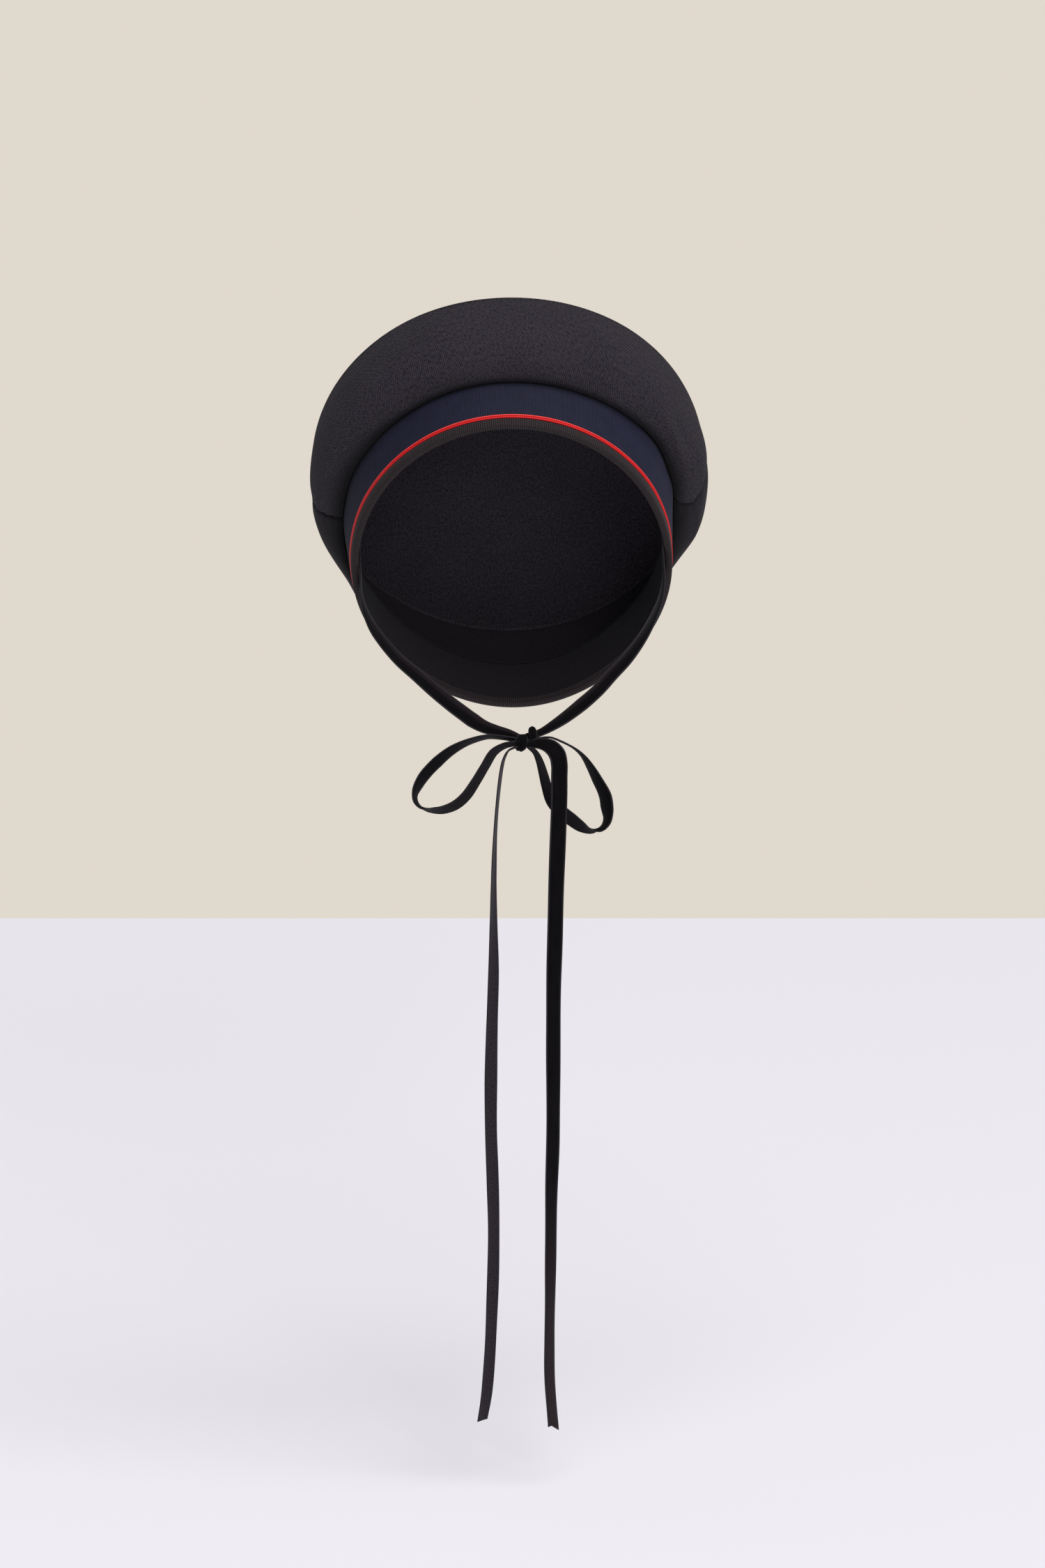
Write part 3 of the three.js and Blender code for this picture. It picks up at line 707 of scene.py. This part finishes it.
# A small kit for node materials, whose patterns follow the uv lengths in millimetres.
class Shader:
    def __init__(self, name, roughness, specular, sheen=0.0, sheen_roughness=0.5, sheen_colour=(1, 1, 1)):
        self.material = bpy.data.materials.new(name)
        self.material.use_nodes = True
        self.tree = self.material.node_tree
        self.base = self.tree.nodes["Principled BSDF"]
        self.base.inputs["Roughness"].default_value = roughness
        self.base.inputs["Sheen Weight"].default_value = sheen
        self.base.inputs["Sheen Roughness"].default_value = sheen_roughness
        self.base.inputs["Sheen Tint"].default_value = (*sheen_colour, 1)
        self.base.inputs["Specular IOR Level"].default_value = specular
        coordinates = self.tree.nodes.new("ShaderNodeUVMap")
        coordinates.uv_map = "lengths"
        self.uv = coordinates.outputs["UV"]
        split = self.tree.nodes.new("ShaderNodeSeparateXYZ")
        self.tree.links.new(self.uv, split.inputs["Vector"])
        self.along, self.across = split.outputs["X"], split.outputs["Y"]

    def math(self, operation, *values, clamp=False):
        node = self.tree.nodes.new("ShaderNodeMath")
        node.operation = operation
        node.use_clamp = clamp
        for socket, value in zip(node.inputs, values):
            if isinstance(value, (int, float)):
                socket.default_value = value
            else:
                self.tree.links.new(value, socket)
        return node.outputs["Value"]

    def times(self, first, second, clamp=False):
        return self.math("MULTIPLY", first, second, clamp=clamp)

    def scaled(self, value, gain, offset, clamp=False):
        return self.math("MULTIPLY_ADD", value, gain, offset, clamp=clamp)

    def shade(self):
        node = self.tree.nodes.new("ShaderNodeAttribute")
        node.attribute_name = "shade"
        return node.outputs["Fac"]

    # A sine of that pitch, from 0 to 1.
    def wave(self, value, pitch):
        return self.scaled(self.math("SINE", self.times(value, 2 * math.pi / pitch)), 0.5, 0.5)

    def noise(self, scale, detail=2.0, stretch=(1, 1, 1)):
        mapping = self.tree.nodes.new("ShaderNodeMapping")
        mapping.inputs["Scale"].default_value = stretch
        self.tree.links.new(self.uv, mapping.inputs["Vector"])
        node = self.tree.nodes.new("ShaderNodeTexNoise")
        node.inputs["Scale"].default_value = scale
        node.inputs["Detail"].default_value = detail
        self.tree.links.new(mapping.outputs["Vector"], node.inputs["Vector"])
        return node.outputs["Fac"]

    def blend(self, share, low, high):
        return mix_colours(self.tree, share, low, high)

    def colour(self, socket):
        self.tree.links.new(socket, self.base.inputs["Base Color"])

    def bump(self, height, depth):
        node = self.tree.nodes.new("ShaderNodeBump")
        node.inputs["Distance"].default_value = depth * MM
        self.tree.links.new(height, node.inputs["Height"])
        self.tree.links.new(node.outputs["Normal"], self.base.inputs["Normal"])


# Plain weave: over and under threads in a chequer, each a rounded float.
def woven(name, pitch, colours, depth, roughness):
    shader = Shader(name, roughness, sheen=0.02, sheen_roughness=0.45, specular=0.14)
    wobble = shader.times(shader.noise(0.5), 0.5)
    warp = shader.math("ADD", shader.math("DIVIDE", shader.along, pitch), wobble)
    weft = shader.math("DIVIDE", shader.across, pitch * WEFT_STRETCH)
    warp_wave, weft_wave = (shader.math("SINE", shader.times(thread, math.pi)) for thread in (warp, weft))
    chequer = shader.times(warp_wave, weft_wave)
    rounded_float = shader.math("POWER", shader.math("ABSOLUTE", chequer), 0.5)
    over = shader.math("GREATER_THAN", chequer, 0)
    height = shader.times(rounded_float, shader.scaled(over, 1 - UNDER_THREAD, UNDER_THREAD))
    patch = shader.noise(0.035, 3.0)
    slub = shader.noise(0.95, stretch=(1, 0.55, 1))
    tone = shader.times(height, shader.scaled(slub, 2.8, -0.4))
    tone = shader.times(tone, shader.scaled(patch, 0.5, 0.75), clamp=True)
    # Painted shade: where the shade attribute is low, near the fold under the crown's lip, the cloth darkens
    # to near black.
    shader.colour(shader.blend(shader.shade(), CLOTH_FOLD_SHADE_COLOUR, shader.blend(tone, *colours)))
    shader.bump(height, depth)
    return shader.material


def grosgrain():
    shader = Shader("navy_grosgrain", roughness=0.62, sheen=0.02, sheen_roughness=0.4, specular=0.14)
    rib = shader.wave(shader.along, RIB_PITCH)
    thread = shader.wave(shader.across, RIBBON_THREAD_PITCH)
    cloud = shader.noise(0.12, 3.0)
    grain = shader.noise(2.4)
    tone = shader.times(shader.scaled(rib, 0.55, 0.15), shader.scaled(cloud, 0.7, 0.5))
    tone = shader.times(tone, shader.scaled(grain, 0.9, 0.5), clamp=True)
    # Painted shade: just below the crown's lip the ribbon darkens to near black.
    shader.colour(shader.blend(shader.shade(), RIBBON_FOLD_SHADE_COLOUR, shader.blend(tone, *RIBBON_COLOURS)))
    shader.bump(shader.times(thread, rib), depth=0.05)
    return shader.material


# Painted shade from the deep groove between the cords, through their red, to a painted highlight on the lit
# upper edge.
def satin_cord():
    shader = Shader("red_satin", roughness=0.45, specular=0.25)
    slant = shader.scaled(shader.across, 0.8, shader.along)
    strand = shader.wave(slant, PIPING_TWIST_PITCH)
    fine = shader.wave(slant, PIPING_TWIST_PITCH / 4)
    mottle = shader.scaled(strand, 0.16, shader.scaled(shader.noise(1.2), 0.16, -0.16))
    tone = shader.math("ADD", shader.shade(), mottle, clamp=True)
    red, lit = PIPING_RED_AND_GLINT_COLOURS
    below = shader.blend(shader.math("DIVIDE", tone, 0.6, clamp=True), PIPING_GROOVE_SHADE_COLOUR, red)
    shader.colour(shader.blend(shader.scaled(tone, 2.5, -1.5, clamp=True), below, lit))
    shader.bump(fine, depth=0.03)
    return shader.material


def ribbed_tape():
    shader = Shader("binding_tape", roughness=0.8, sheen=0.04, sheen_roughness=0.5, specular=0.15)
    rib = shader.wave(shader.along, BINDING_RIB_PITCH)
    cross = shader.wave(shader.across, BINDING_THREAD_PITCH)
    grain = shader.noise(1.6, 3.0)
    tone = shader.times(rib, shader.scaled(cross, 0.4, 0.6))
    tone = shader.times(tone, shader.scaled(grain, 1.6, 0.1), clamp=True)
    shader.colour(shader.blend(tone, *BINDING_COLOURS))
    shader.bump(cross, depth=0.06)
    return shader.material


# The pile is almost black and glows at grazing angles, the woven edges are paler and ticked, and
# the back is a dark satin. Where shade is below 1, painted light falls on the nap and on the satin back.
def velvet():
    shader = Shader("black_velvet", roughness=0.85, sheen=0.16, sheen_roughness=0.4,
                    sheen_colour=VELVET_SHEEN_COLOUR, specular=0.03)
    from_middle = shader.math("ABSOLUTE", shader.across)
    edge = shader.math("GREATER_THAN", from_middle, (VELVET_WIDTH - 2 * SELVEDGE_WIDTH) / 2)
    back = shader.math("GREATER_THAN", from_middle, BACK_ACROSS - VELVET_WIDTH / 2)

    pile = shader.noise(1.3, 4.0)
    streak = shader.noise(0.25, 3.0, (0.35, 1.0, 1))
    deep = shader.blend(shader.times(pile, streak), *PILE_COLOURS)
    lit_nap = shader.blend(shader.math("POWER", pile, 1.5), *LIT_NAP_COLOURS)
    face = shader.blend(shader.shade(), lit_nap, deep)

    tick = shader.math("POWER", shader.wave(shader.along, PICOT_PITCH), 1.5)
    face = shader.blend(edge, face, shader.blend(tick, *SELVEDGE_COLOURS))

    thread = shader.scaled(shader.wave(shader.across, SATIN_THREAD_PITCH), 0.5, 0.5)
    speck = shader.times(shader.math("POWER", shader.noise(1.1, 3.0), 2.2), thread)
    speck = shader.times(speck, 3.6, clamp=True)
    # Painted light and shade on the satin back: the lit copy where shade is low, the shaded copy where it is
    # 1.
    satin_shade = shader.scaled(shader.shade(), 1.667, -0.667, clamp=True)
    lit_satin = shader.blend(speck, *LIT_SATIN_COLOURS)
    shaded_satin = shader.blend(speck, *SHADED_SATIN_COLOURS)
    shader.colour(shader.blend(back, face, shader.blend(satin_shade, lit_satin, shaded_satin)))
    shader.bump(pile, depth=0.12)
    return shader.material


def floor_material():
    material = bpy.data.materials.new("floor_paper")
    material.use_nodes = True
    tree = material.node_tree
    base = tree.nodes["Principled BSDF"]
    base.inputs["Roughness"].default_value = 0.9
    base.inputs["Specular IOR Level"].default_value = 0.1
    noise = tree.nodes.new("ShaderNodeTexNoise")
    noise.inputs["Scale"].default_value = 1.5
    tree.links.new(mix_colours(tree, noise.outputs["Fac"], *FLOOR_COLOURS), base.inputs["Base Color"])
    return material


def floor():
    corners = [(-FLOOR_HALF_WIDTH, FLOOR_NEAR_EDGE), (FLOOR_HALF_WIDTH, FLOOR_NEAR_EDGE),
               (FLOOR_HALF_WIDTH, FLOOR_FAR_EDGE), (-FLOOR_HALF_WIDTH, FLOOR_FAR_EDGE)]
    mesh = bpy.data.meshes.new("floor")
    mesh.from_pydata([(x * MM, y * MM, FLOOR_HEIGHT * MM) for x, y in corners], [], [(0, 1, 2, 3)])
    mesh.materials.append(floor_material())
    link(bpy.data.objects.new("floor", mesh))


# The camera sees the wall's colour behind the cap, and the glow lights the cap from all round. The
# picture shows plain colours.
def wall_and_glow():
    world = bpy.data.worlds.new("studio")
    world.use_nodes = True
    nodes, links = world.node_tree.nodes, world.node_tree.links
    wall = nodes["Background"]
    wall.inputs["Color"].default_value = (*WALL_COLOUR, 1)
    glow = nodes.new("ShaderNodeBackground")
    glow.inputs["Color"].default_value = (*GLOW_COLOUR, 1)
    glow.inputs["Strength"].default_value = GLOW_STRENGTH
    share, as_light, as_seen = nodes.new("ShaderNodeMixShader").inputs
    links.new(nodes.new("ShaderNodeLightPath").outputs["Is Camera Ray"], share)
    links.new(glow.outputs["Background"], as_light)
    links.new(wall.outputs["Background"], as_seen)
    links.new(share.node.outputs["Shader"], nodes["World Output"].inputs["Surface"])
    bpy.context.scene.world = world
    bpy.context.scene.view_settings.view_transform = "Standard"
    bpy.context.scene.view_settings.look = "None"


# A light from the given direction.
def light(name, kind, direction):
    obj = link(bpy.data.objects.new(name, bpy.data.lights.new(name, kind)))
    obj.rotation_euler = direction.to_track_quat("Z", "Y").to_euler()
    return obj


def lights():
    sky = light("sky", "SUN", Vector(SKY_FROM))
    sky.data.energy = SKY_STRENGTH
    sky.data.angle = math.radians(SKY_SPREAD)
    front = light("front", "AREA", Vector(FRONT_LIGHT_PLACE) - Vector(FRONT_LIGHT_TARGET))
    front.location = FRONT_LIGHT_PLACE
    front.data.shape = "DISK"
    front.data.size = FRONT_LIGHT_SIZE
    front.data.energy = FRONT_LIGHT_POWER
    front.data.color = FRONT_LIGHT_COLOUR


# Places along a ribbon's route: the centre line, its direction, the ribbon's width direction and how
# wide the gathers leave it, with the ribbon's length.
def ribbon_line(route):
    route = np.array(route, float)
    places, spans = route[:, :3], len(route) - 1
    coarse = spline(places, np.linspace(0, 1, spans * COARSE_STEPS + 1))
    length = np.linalg.norm(np.diff(coarse, axis=0), axis=1).sum()
    steps = int(length / (PICOT_PITCH / STEPS_IN_PICOT))
    values = np.linspace(0, 1, steps + 1)
    ahead = spline(places, np.minimum(values + 0.5 / steps, 1))
    behind = spline(places, np.maximum(values - 0.5 / steps, 0))
    tangent = unit(ahead - behind)
    depth = unit(np.array([0, 1, 0]) - tangent * tangent[:, 1:2])
    turn, gather = (np.interp(values * spans, np.arange(spans + 1), route[:, column])[:, None]
                    for column in (TURN, GATHER))
    wide = depth * np.cos(np.radians(turn)) + np.cross(tangent, depth) * np.sin(np.radians(turn))
    return spline(places, values), tangent, wide, gather, length


# Columns: side from -1 to 1, face from -1 (back) to 1 (pile), edge relief, and uv across in millimetres.
def ribbon_section():
    inner = 1 - 2 * SELVEDGE_WIDTH / VELVET_WIDTH
    half = VELVET_WIDTH / 2
    front = []
    for side in np.linspace(-inner, inner, 9):
        crown = 0.55 + 0.6 * math.sqrt(max(0.0, 1 - (side / inner) ** 2))
        front.append((side, crown, 0, side * half))
    right = [
        (inner + 0.02, 0.45, 0, half - SELVEDGE_WIDTH * 0.9),
        (inner + 0.07, 0.62, 0.5, half - SELVEDGE_WIDTH * 0.6),
        (1, 0.35, 1, half - 0.1),
        (1.01, -0.2, 1, half + 0.2),
        (inner + 0.08, -0.75, 0.5, half + 0.6),
    ]
    back = [(side, -0.7, 0, BACK_ACROSS + side * half) for side in np.linspace(inner, -inner, 4)]
    left = [(-side, face, edge, -across) for side, face, edge, across in reversed(right)]
    return front + right + back + left


# One flat ribbon with a crowned pile face, a flat back and two thick ticked edges. Light catches the
# nap over a reach before the far end, or along one edge.
def ribbon(node, route, material, pile=1, slant=0.0, end_light=0.0, light_reach=0.0,
           edge_light=0.0):
    centre, tangent, wide, gather, length = ribbon_line(route)
    thick = np.cross(tangent, wide)
    run = np.concatenate([[0], np.cumsum(np.linalg.norm(np.diff(centre, axis=0), axis=1))])
    tick = np.sin(2 * np.pi * run / PICOT_PITCH)[:, None] / 2
    sway = SWAY * np.sin(run / SWAY_LENGTH)[:, None]
    onward = np.zeros_like(run)
    onward[-SLANTED_ROWS:] = np.linspace(0, slant / 2, SLANTED_ROWS)
    section = ribbon_section()
    columns = []
    for side, face, edge, _ in section:
        half = VELVET_WIDTH / 2 + PICOT_DEPTH * edge * tick
        fold = GATHER_DEPTH * (1 - gather) * np.cos(side * np.pi * 1.5)
        lift = pile * face * VELVET_THICKNESS / 2 + CUPPING * side ** 2 + sway * side + fold
        slide = (side * onward)[:, None]
        columns.append(centre + wide * side * half * gather + thick * lift + tangent * slide)
    sides, _, _, across = np.array(section).T
    uv = np.stack(np.meshgrid(run, np.append(across, across[0]), indexing="ij"), -1)
    # Painted light on the nap, before the far end or along one edge, lowers the shade attribute.
    at_end = end_light * smooth_share((run - length + light_reach) / TAIL_LIGHT_FADE)
    at_edge = edge_light * smooth_share((sides - 0.05) / 0.5)
    shade = 1 - np.maximum(at_end[:, None], at_edge[None, :])
    obj = grid_object(f"{node}_velvet", np.stack(columns, 1), uv, close_rows=False, shade=shade)
    finish_piece(obj, node, material)
    path = centre[::max(1, (len(run) - 1) // PATH_POINTS)]
    if not np.allclose(path[-1], centre[-1]):
        path = np.vstack([path, centre[-1]])


def ribbons(material):
    ribbon("chin_strap_left", STRAP_LEFT, material, edge_light=STRAP_LIGHT)
    ribbon("chin_strap_right", STRAP_RIGHT, material, pile=-1,
           edge_light=STRAP_LIGHT)
    ribbon("bow_loop_left", LOOP_LEFT, material)
    ribbon("bow_loop_right", LOOP_RIGHT, material, pile=-1)
    ribbon("ribbon_tail_left", TAIL_LEFT, material, pile=-1, slant=TAIL_LEFT_SLANT,
           end_light=TAIL_LEFT_LIGHT, light_reach=TAIL_LEFT_LIGHT_REACH)
    ribbon("ribbon_tail_right", TAIL_RIGHT, material, slant=TAIL_RIGHT_SLANT,
           end_light=TAIL_RIGHT_LIGHT, light_reach=TAIL_RIGHT_LIGHT_REACH)


# The knot's lumps are turns of the ribbon: rounded across, with shallow gathers along the turn.
def knot(material):
    lumps = []
    u = np.linspace(-1, 1, KNOT_SIDES)[None, :]
    angle = np.linspace(0, 2 * np.pi, KNOT_STEPS, endpoint=False)[:, None]
    profile = np.maximum(1 - np.abs(u) ** KNOT_ROUNDNESS, 0) ** (1 / KNOT_ROUNDNESS)
    for number, (x, y, z, wide, deep, tall, lean) in enumerate(KNOT_LUMPS):
        gathers = 1 + KNOT_RIPPLE * np.sin(u * 9 + 1.3 * np.sin(angle + number)) * (1 - u ** 2)
        gathers = gathers + KNOT_SWELL * np.sin(3 * angle + number * 2 + u * 2) * profile
        px = u * np.ones_like(angle) * KNOT_WIDTH * wide / 2
        py = -np.cos(angle) * profile * gathers * KNOT_DEPTH * deep / 2
        pz = np.sin(angle) * profile * gathers * KNOT_HEIGHT * tall / 2
        tilt = math.radians(lean)
        points = np.stack([
            x + px * math.cos(tilt) + pz * math.sin(tilt),
            y + py,
            z - px * math.sin(tilt) + pz * math.cos(tilt),
        ], -1)
        run = np.linspace(0, KNOT_TURN_LENGTH * tall, KNOT_STEPS + 1)
        across = KNOT_FIRST_SHIFT * (number == 0) + u[0] * KNOT_HALF_ACROSS
        uv = np.stack(np.meshgrid(run, across, indexing="ij"), -1)
        lumps.append(grid_object(f"knot_lump_{number}", points, uv, close_columns=False))
    bpy.ops.object.select_all(action="DESELECT")
    for lump in lumps:
        lump.select_set(True)
    bpy.context.view_layer.objects.active = lumps[0]
    bpy.ops.object.join()
    lumps[0].name = "bow_knot_velvet"
    lumps[0].data.name = "bow_knot_velvet"
    weld(lumps[0])
    finish_piece(lumps[0], "bow_knot", material)


# A closed ring round the band, worn into place. The section has columns out and height, relief raises
# each point, and shade has a value for each point of the section.
def band_ring(name, section, steps, relief=None, shade=None):
    azimuth = np.tile((np.arange(steps) * 360 / steps)[:, None], (1, len(section)))
    out, height = (np.tile(column, (steps, 1)) for column in section.T)
    points = band_point(azimuth, out, height)
    uv = wrapped_lengths(points, True)
    if relief is not None:
        out = out + relief(uv[:-1, :-1, 0], out, height, uv[-1, 0, 0])
        points = band_point(azimuth, out, height)
    if shade is None:
        below_lip = lip_point(azimuth)[..., 2] - height
        shade = np.where(out > TRIM_INNER, fold_shade(below_lip, azimuth, *BAND_FOLD), 1)
    else:
        shade = np.tile(shade, (steps, 1))
    return grid_object(name, worn(points), uv, shade=shade)


# The pitch nearest to the wanted one that goes a whole number of times into the total.
def whole_pitch(pitch, total):
    return total / round(total / pitch)


# Rounded ribs across the run, round a middle level.
def rib_wave(run, pitch, total):
    return np.abs(np.sin(np.pi * run / whole_pitch(pitch, total))) - RIB_LEVEL


# Rounds the corners of a closed section a little.
def rounded(points):
    result = []
    for before, here, after in zip(np.roll(points, 1, 0), points, np.roll(points, -1, 0)):
        back, ahead = np.linalg.norm(here - before), np.linalg.norm(after - here)
        reach = min(CORNER_RADIUS, back / 2.5, ahead / 2.5)
        start = here + (before - here) / back * reach
        end = here + (after - here) / ahead * reach
        for share in np.arange(CORNER_STEPS + 1) / CORNER_STEPS:
            result.append((1 - share) ** 2 * start + 2 * share * (1 - share) * here + share ** 2 * end)
    return result


# Adds points along a closed section so that none of its sides is longer than step.
def densify(points, step):
    result = []
    for here, after in zip(points, np.roll(points, -1, 0)):
        count = max(1, int(np.ceil(np.linalg.norm(after - here) / step)))
        for place in range(count):
            result.append(here + (after - here) * place / count)
    return np.array(result)


# Section of a strip that stands on its edge, with columns out and height.
def strip_section(inner, outer, bottom, top, step):
    corners = np.array([(outer, bottom), (outer, top), (inner, top), (inner, bottom)], float)
    return densify(rounded(corners), step)


def band_wall(material):
    section = strip_section(0, BAND_WALL, BAND_WALL_BOTTOM, BAND_HEIGHT, 4)
    finish_piece(band_ring("band_wall_cloth", section, WALL_STEPS), "band_wall", material)


def band_ribbon(material):
    def ribs(run, out, height, total):
        along, up = RIBBON_WAVER_LENGTHS
        waver = RIBBON_WAVER * unevenness(run / along, height / up, RIBBON_SEED)
        return (RIB_DEPTH * rib_wave(run, RIB_PITCH, total) + waver) * (out > RIBBON_OUTER - 0.05)

    section = strip_section(TRIM_INNER, RIBBON_OUTER, RIBBON_BOTTOM, RIBBON_TOP, 3)
    ring = band_ring("band_ribbon_grosgrain", section, RIBBON_STEPS, ribs)
    finish_piece(ring, "band_ribbon", material)


def piping_section():
    radius = PIPING_LINE / 2
    points = []
    for centre in PIPING_CENTRES:
        for angle in np.radians(np.linspace(-PIPING_ARC, PIPING_ARC, 11)):
            out = TRIM_INNER + PIPING_PROUD - radius + radius * np.cos(angle)
            points.append((out, centre + radius * np.sin(angle)))
    points += [(TRIM_INNER, PIPING_TOP), (TRIM_INNER, PIPING_BOTTOM)]
    return np.array(points)


# Height above the middle of the cord that the point belongs to.
def above_cord(height):
    return height - np.where(height > PIPING_MIDDLE, PIPING_CENTRES[1], PIPING_CENTRES[0])


def piping(material):
    def twist(run, out, height, total):
        lean = np.where(height > PIPING_MIDDLE, -1, 1) * above_cord(height) * PIPING_TWIST_LEAN
        turns = (run + lean) / whole_pitch(PIPING_TWIST_PITCH, total)
        return PIPING_TWIST_DEPTH * np.sin(2 * np.pi * turns) * (out > TRIM_INNER + 0.2)

    section = piping_section()
    height = section[:, 1]
    # Painted shade darkens each cord towards its edges; a painted highlight lies on the upper cord's lit
    # edge.
    rise = above_cord(height) / (PIPING_LINE / 2)
    round_shade = PIPING_ROUND_SHADE * np.maximum(1 - rise ** 2, 0) ** 0.5
    glint = PIPING_GLINT * np.exp(-((rise - GLINT_RISE) / GLINT_REACH) ** 2) * (height > PIPING_MIDDLE)
    ring = band_ring("piping_satin", section, PIPING_STEPS, twist, round_shade + glint)
    finish_piece(ring, "piping", material)


def binding_section():
    inner = -CLOTH_GAP
    inside = inner - BINDING_THICKNESS
    outer = TRIM_INNER + BINDING_THICKNESS
    middle, half = (outer + inside) / 2, (outer - inside) / 2
    points = [
        (outer - BINDING_BEVEL, BINDING_HEIGHT),
        (outer, BINDING_HEIGHT - BINDING_SHOULDER),
        (outer, BINDING_HEIGHT / 2),
    ]
    for angle in np.radians(np.linspace(0, 180, 11)):
        points.append((middle + half * np.cos(angle), -BINDING_THICKNESS * np.sin(angle)))
    points += [
        (inside, BINDING_INSIDE_HEIGHT / 2),
        (inside, BINDING_INSIDE_HEIGHT - BINDING_SHOULDER),
        (inside + BINDING_BEVEL, BINDING_INSIDE_HEIGHT),
        (inner, BINDING_INSIDE_HEIGHT),
        (inner, CLOTH_GAP),
        (BAND_WALL / 2, 0),
        (TRIM_INNER, CLOTH_GAP),
        (TRIM_INNER, BINDING_HEIGHT),
    ]
    return np.array(points)


def bottom_binding(material):
    def ribs(run, out, height, total):
        outward = np.where(out > BAND_WALL, 1, np.where(out < -CLOTH_GAP, -1, 0))
        return BINDING_RIB_DEPTH * rib_wave(run, BINDING_RIB_PITCH, total) * outward

    ring = band_ring("bottom_binding_tape", binding_section(), BINDING_STEPS, ribs)
    finish_piece(ring, "bottom_binding", material)


# Outward direction at points of the crown's side.
def crown_normal(azimuth, level):
    onward = crown_point(azimuth + 1, level) - crown_point(azimuth - 1, level)
    above, below = np.minimum(level + NORMAL_STEP, 1), np.maximum(level - NORMAL_STEP, 0)
    upward = crown_point(azimuth, above) - crown_point(azimuth, below)
    return unit(np.cross(onward, upward))


# One side panel of the crown: outer skin, rolled lip, inner face and turned seam edges.
def crown_panel(name, node, from_seam, to_seam, steps, seed, material):
    share = np.linspace(0, 1, steps + 1)[:, None]
    level = np.tile(np.linspace(0, 1, PANEL_LEVELS), (steps + 1, 1))
    azimuth = from_seam(level) * (1 - share) + to_seam(level) * share
    plain, normal = crown_point(azimuth, level), crown_normal(azimuth, level)

    run = azimuth * (RIM_HALF_WIDTH / DEGREES_IN_RADIAN)
    soft = sum(unevenness(run / length, level * waves, seed + place) * height
               for place, (length, waves, height) in enumerate(CLOTH_WAVES))
    seam = np.minimum(share, 1 - share) * np.abs(to_seam(0.5) - from_seam(0.5))
    pucker = PUCKER_HEIGHT * np.sin(level * PUCKER_RADIANS + seed) * np.exp(-(seam / PUCKER_REACH) ** 2)
    tuck = TUCK_DEPTH * np.exp(-(seam / TUCK_REACH) ** 2)
    fade = np.sin(np.pi * np.clip(level, 0.02, 0.98)) ** 0.4
    skin = plain + normal * ((soft + pucker) * fade - tuck)[..., None]
    inner = plain - normal * (CROWN_WALL + tuck)[..., None]

    start = azimuth[:, 0]
    lip_height = lip_point(start)[:, 2]
    lip_out = RIBBON_OUTER + CLOTH_GAP
    over_height = CROWN_SEAT + CROWN_WALL
    under = [
        (CLOTH_GAP, CROWN_SEAT),
        (lip_out, CROWN_SEAT),
        (lip_out, lip_height + LIP_RADIUS),
        (lip_out + 0.25 * LIP_RADIUS, lip_height + 0.3 * LIP_RADIUS),
    ]
    over = [(RIBBON_OUTER, over_height), (RIBBON_OUTER / 2, over_height), (CLOTH_GAP, over_height)]
    below, above = (np.stack([band_point(start, *place) for place in places], 1) for places in (under, over))
    points = np.concatenate([below, skin, inner[:, ::-1][:, ::INNER_LEVEL_STEP], above], 1)

    uv = wrapped_lengths(points, False)
    from_lip = uv[:, :-1, 1] - uv[0, len(under), 1]
    shade = fold_shade(from_lip, azimuth[:, :1], *CROWN_FOLD)
    obj = grid_object(name, worn(points), uv, close_rows=False, shade=shade)
    finish_piece(obj, node, material)


def crown_top(material):
    azimuth = np.arange(TOP_STEPS) * 360 / TOP_STEPS
    edge = RIM_HEIGHT + CLOTH_GAP
    middle = (RIM_REAR_REACH - RIM_FRONT_REACH) / 2
    start = rim_point(azimuth, RIM_ROLL, 0)

    def rolled(radius, share):
        angle = math.radians(90 * share)
        return rim_point(azimuth, RIM_ROLL - radius * math.cos(angle), edge + radius * math.sin(angle))

    def domed(share, drop):
        x = RIM_SHIFT_RIGHT * (1 - share) + start[:, 0] * share
        y = middle * (1 - share) + start[:, 1] * share
        length, height = TOP_WAVES
        fade = np.sin(np.pi * min(share, 0.97)) ** 0.5
        wrinkle = height * unevenness(x / length, y / length, TOP_SEED) * fade
        z = edge + RIM_ROLL - drop + TOP_DOME * (1 - share ** 2) + wrinkle * (drop == 0)
        return np.stack([x, y, z], 1)

    faces = []
    for thickness, rolls, domes in zip((0, CROWN_WALL), ROLL_ROWS, DOME_ROWS):
        rows = [rolled(RIM_ROLL - thickness, step / rolls) for step in range(rolls)]
        rows += [domed(share, thickness) for share in np.linspace(1, 0, domes)]
        faces.append(rows)
    outer, inner = faces
    points = np.stack(outer + inner[::-1], 1)
    uv = np.pad(points[..., :2], ((0, 1), (0, 1), (0, 0)), mode="wrap")
    obj = grid_object("crown_top_cloth", worn(points), uv)
    weld(obj)
    finish_piece(obj, "crown_top", material)


camera()
black_velvet = velvet()
ribbons(black_velvet)
knot(black_velvet)
band_wall(woven("band_cloth", FINE_WEAVE_PITCH, BAND_CLOTH_COLOURS, depth=0.1, roughness=0.9))
band_ribbon(grosgrain())
piping(satin_cord())
bottom_binding(ribbed_tape())
canvas = woven("crown_canvas", WEAVE_PITCH, CANVAS_COLOURS, depth=0.22, roughness=0.88)
fine_cloth = woven("crown_fine_cloth", FINE_WEAVE_PITCH, FINE_CLOTH_COLOURS, depth=0.1, roughness=0.82)
crown_panel("crown_front_cloth", "crown_side_front", lambda level: -left_seam(level), right_seam,
            FRONT_STEPS, FRONT_SEED, canvas)
crown_panel("crown_rear_cloth", "crown_side_rear", right_seam, lambda level: 360 - left_seam(level),
            REAR_STEPS, REAR_SEED, fine_cloth)
crown_top(canvas)
floor()
wall_and_glow()
lights()
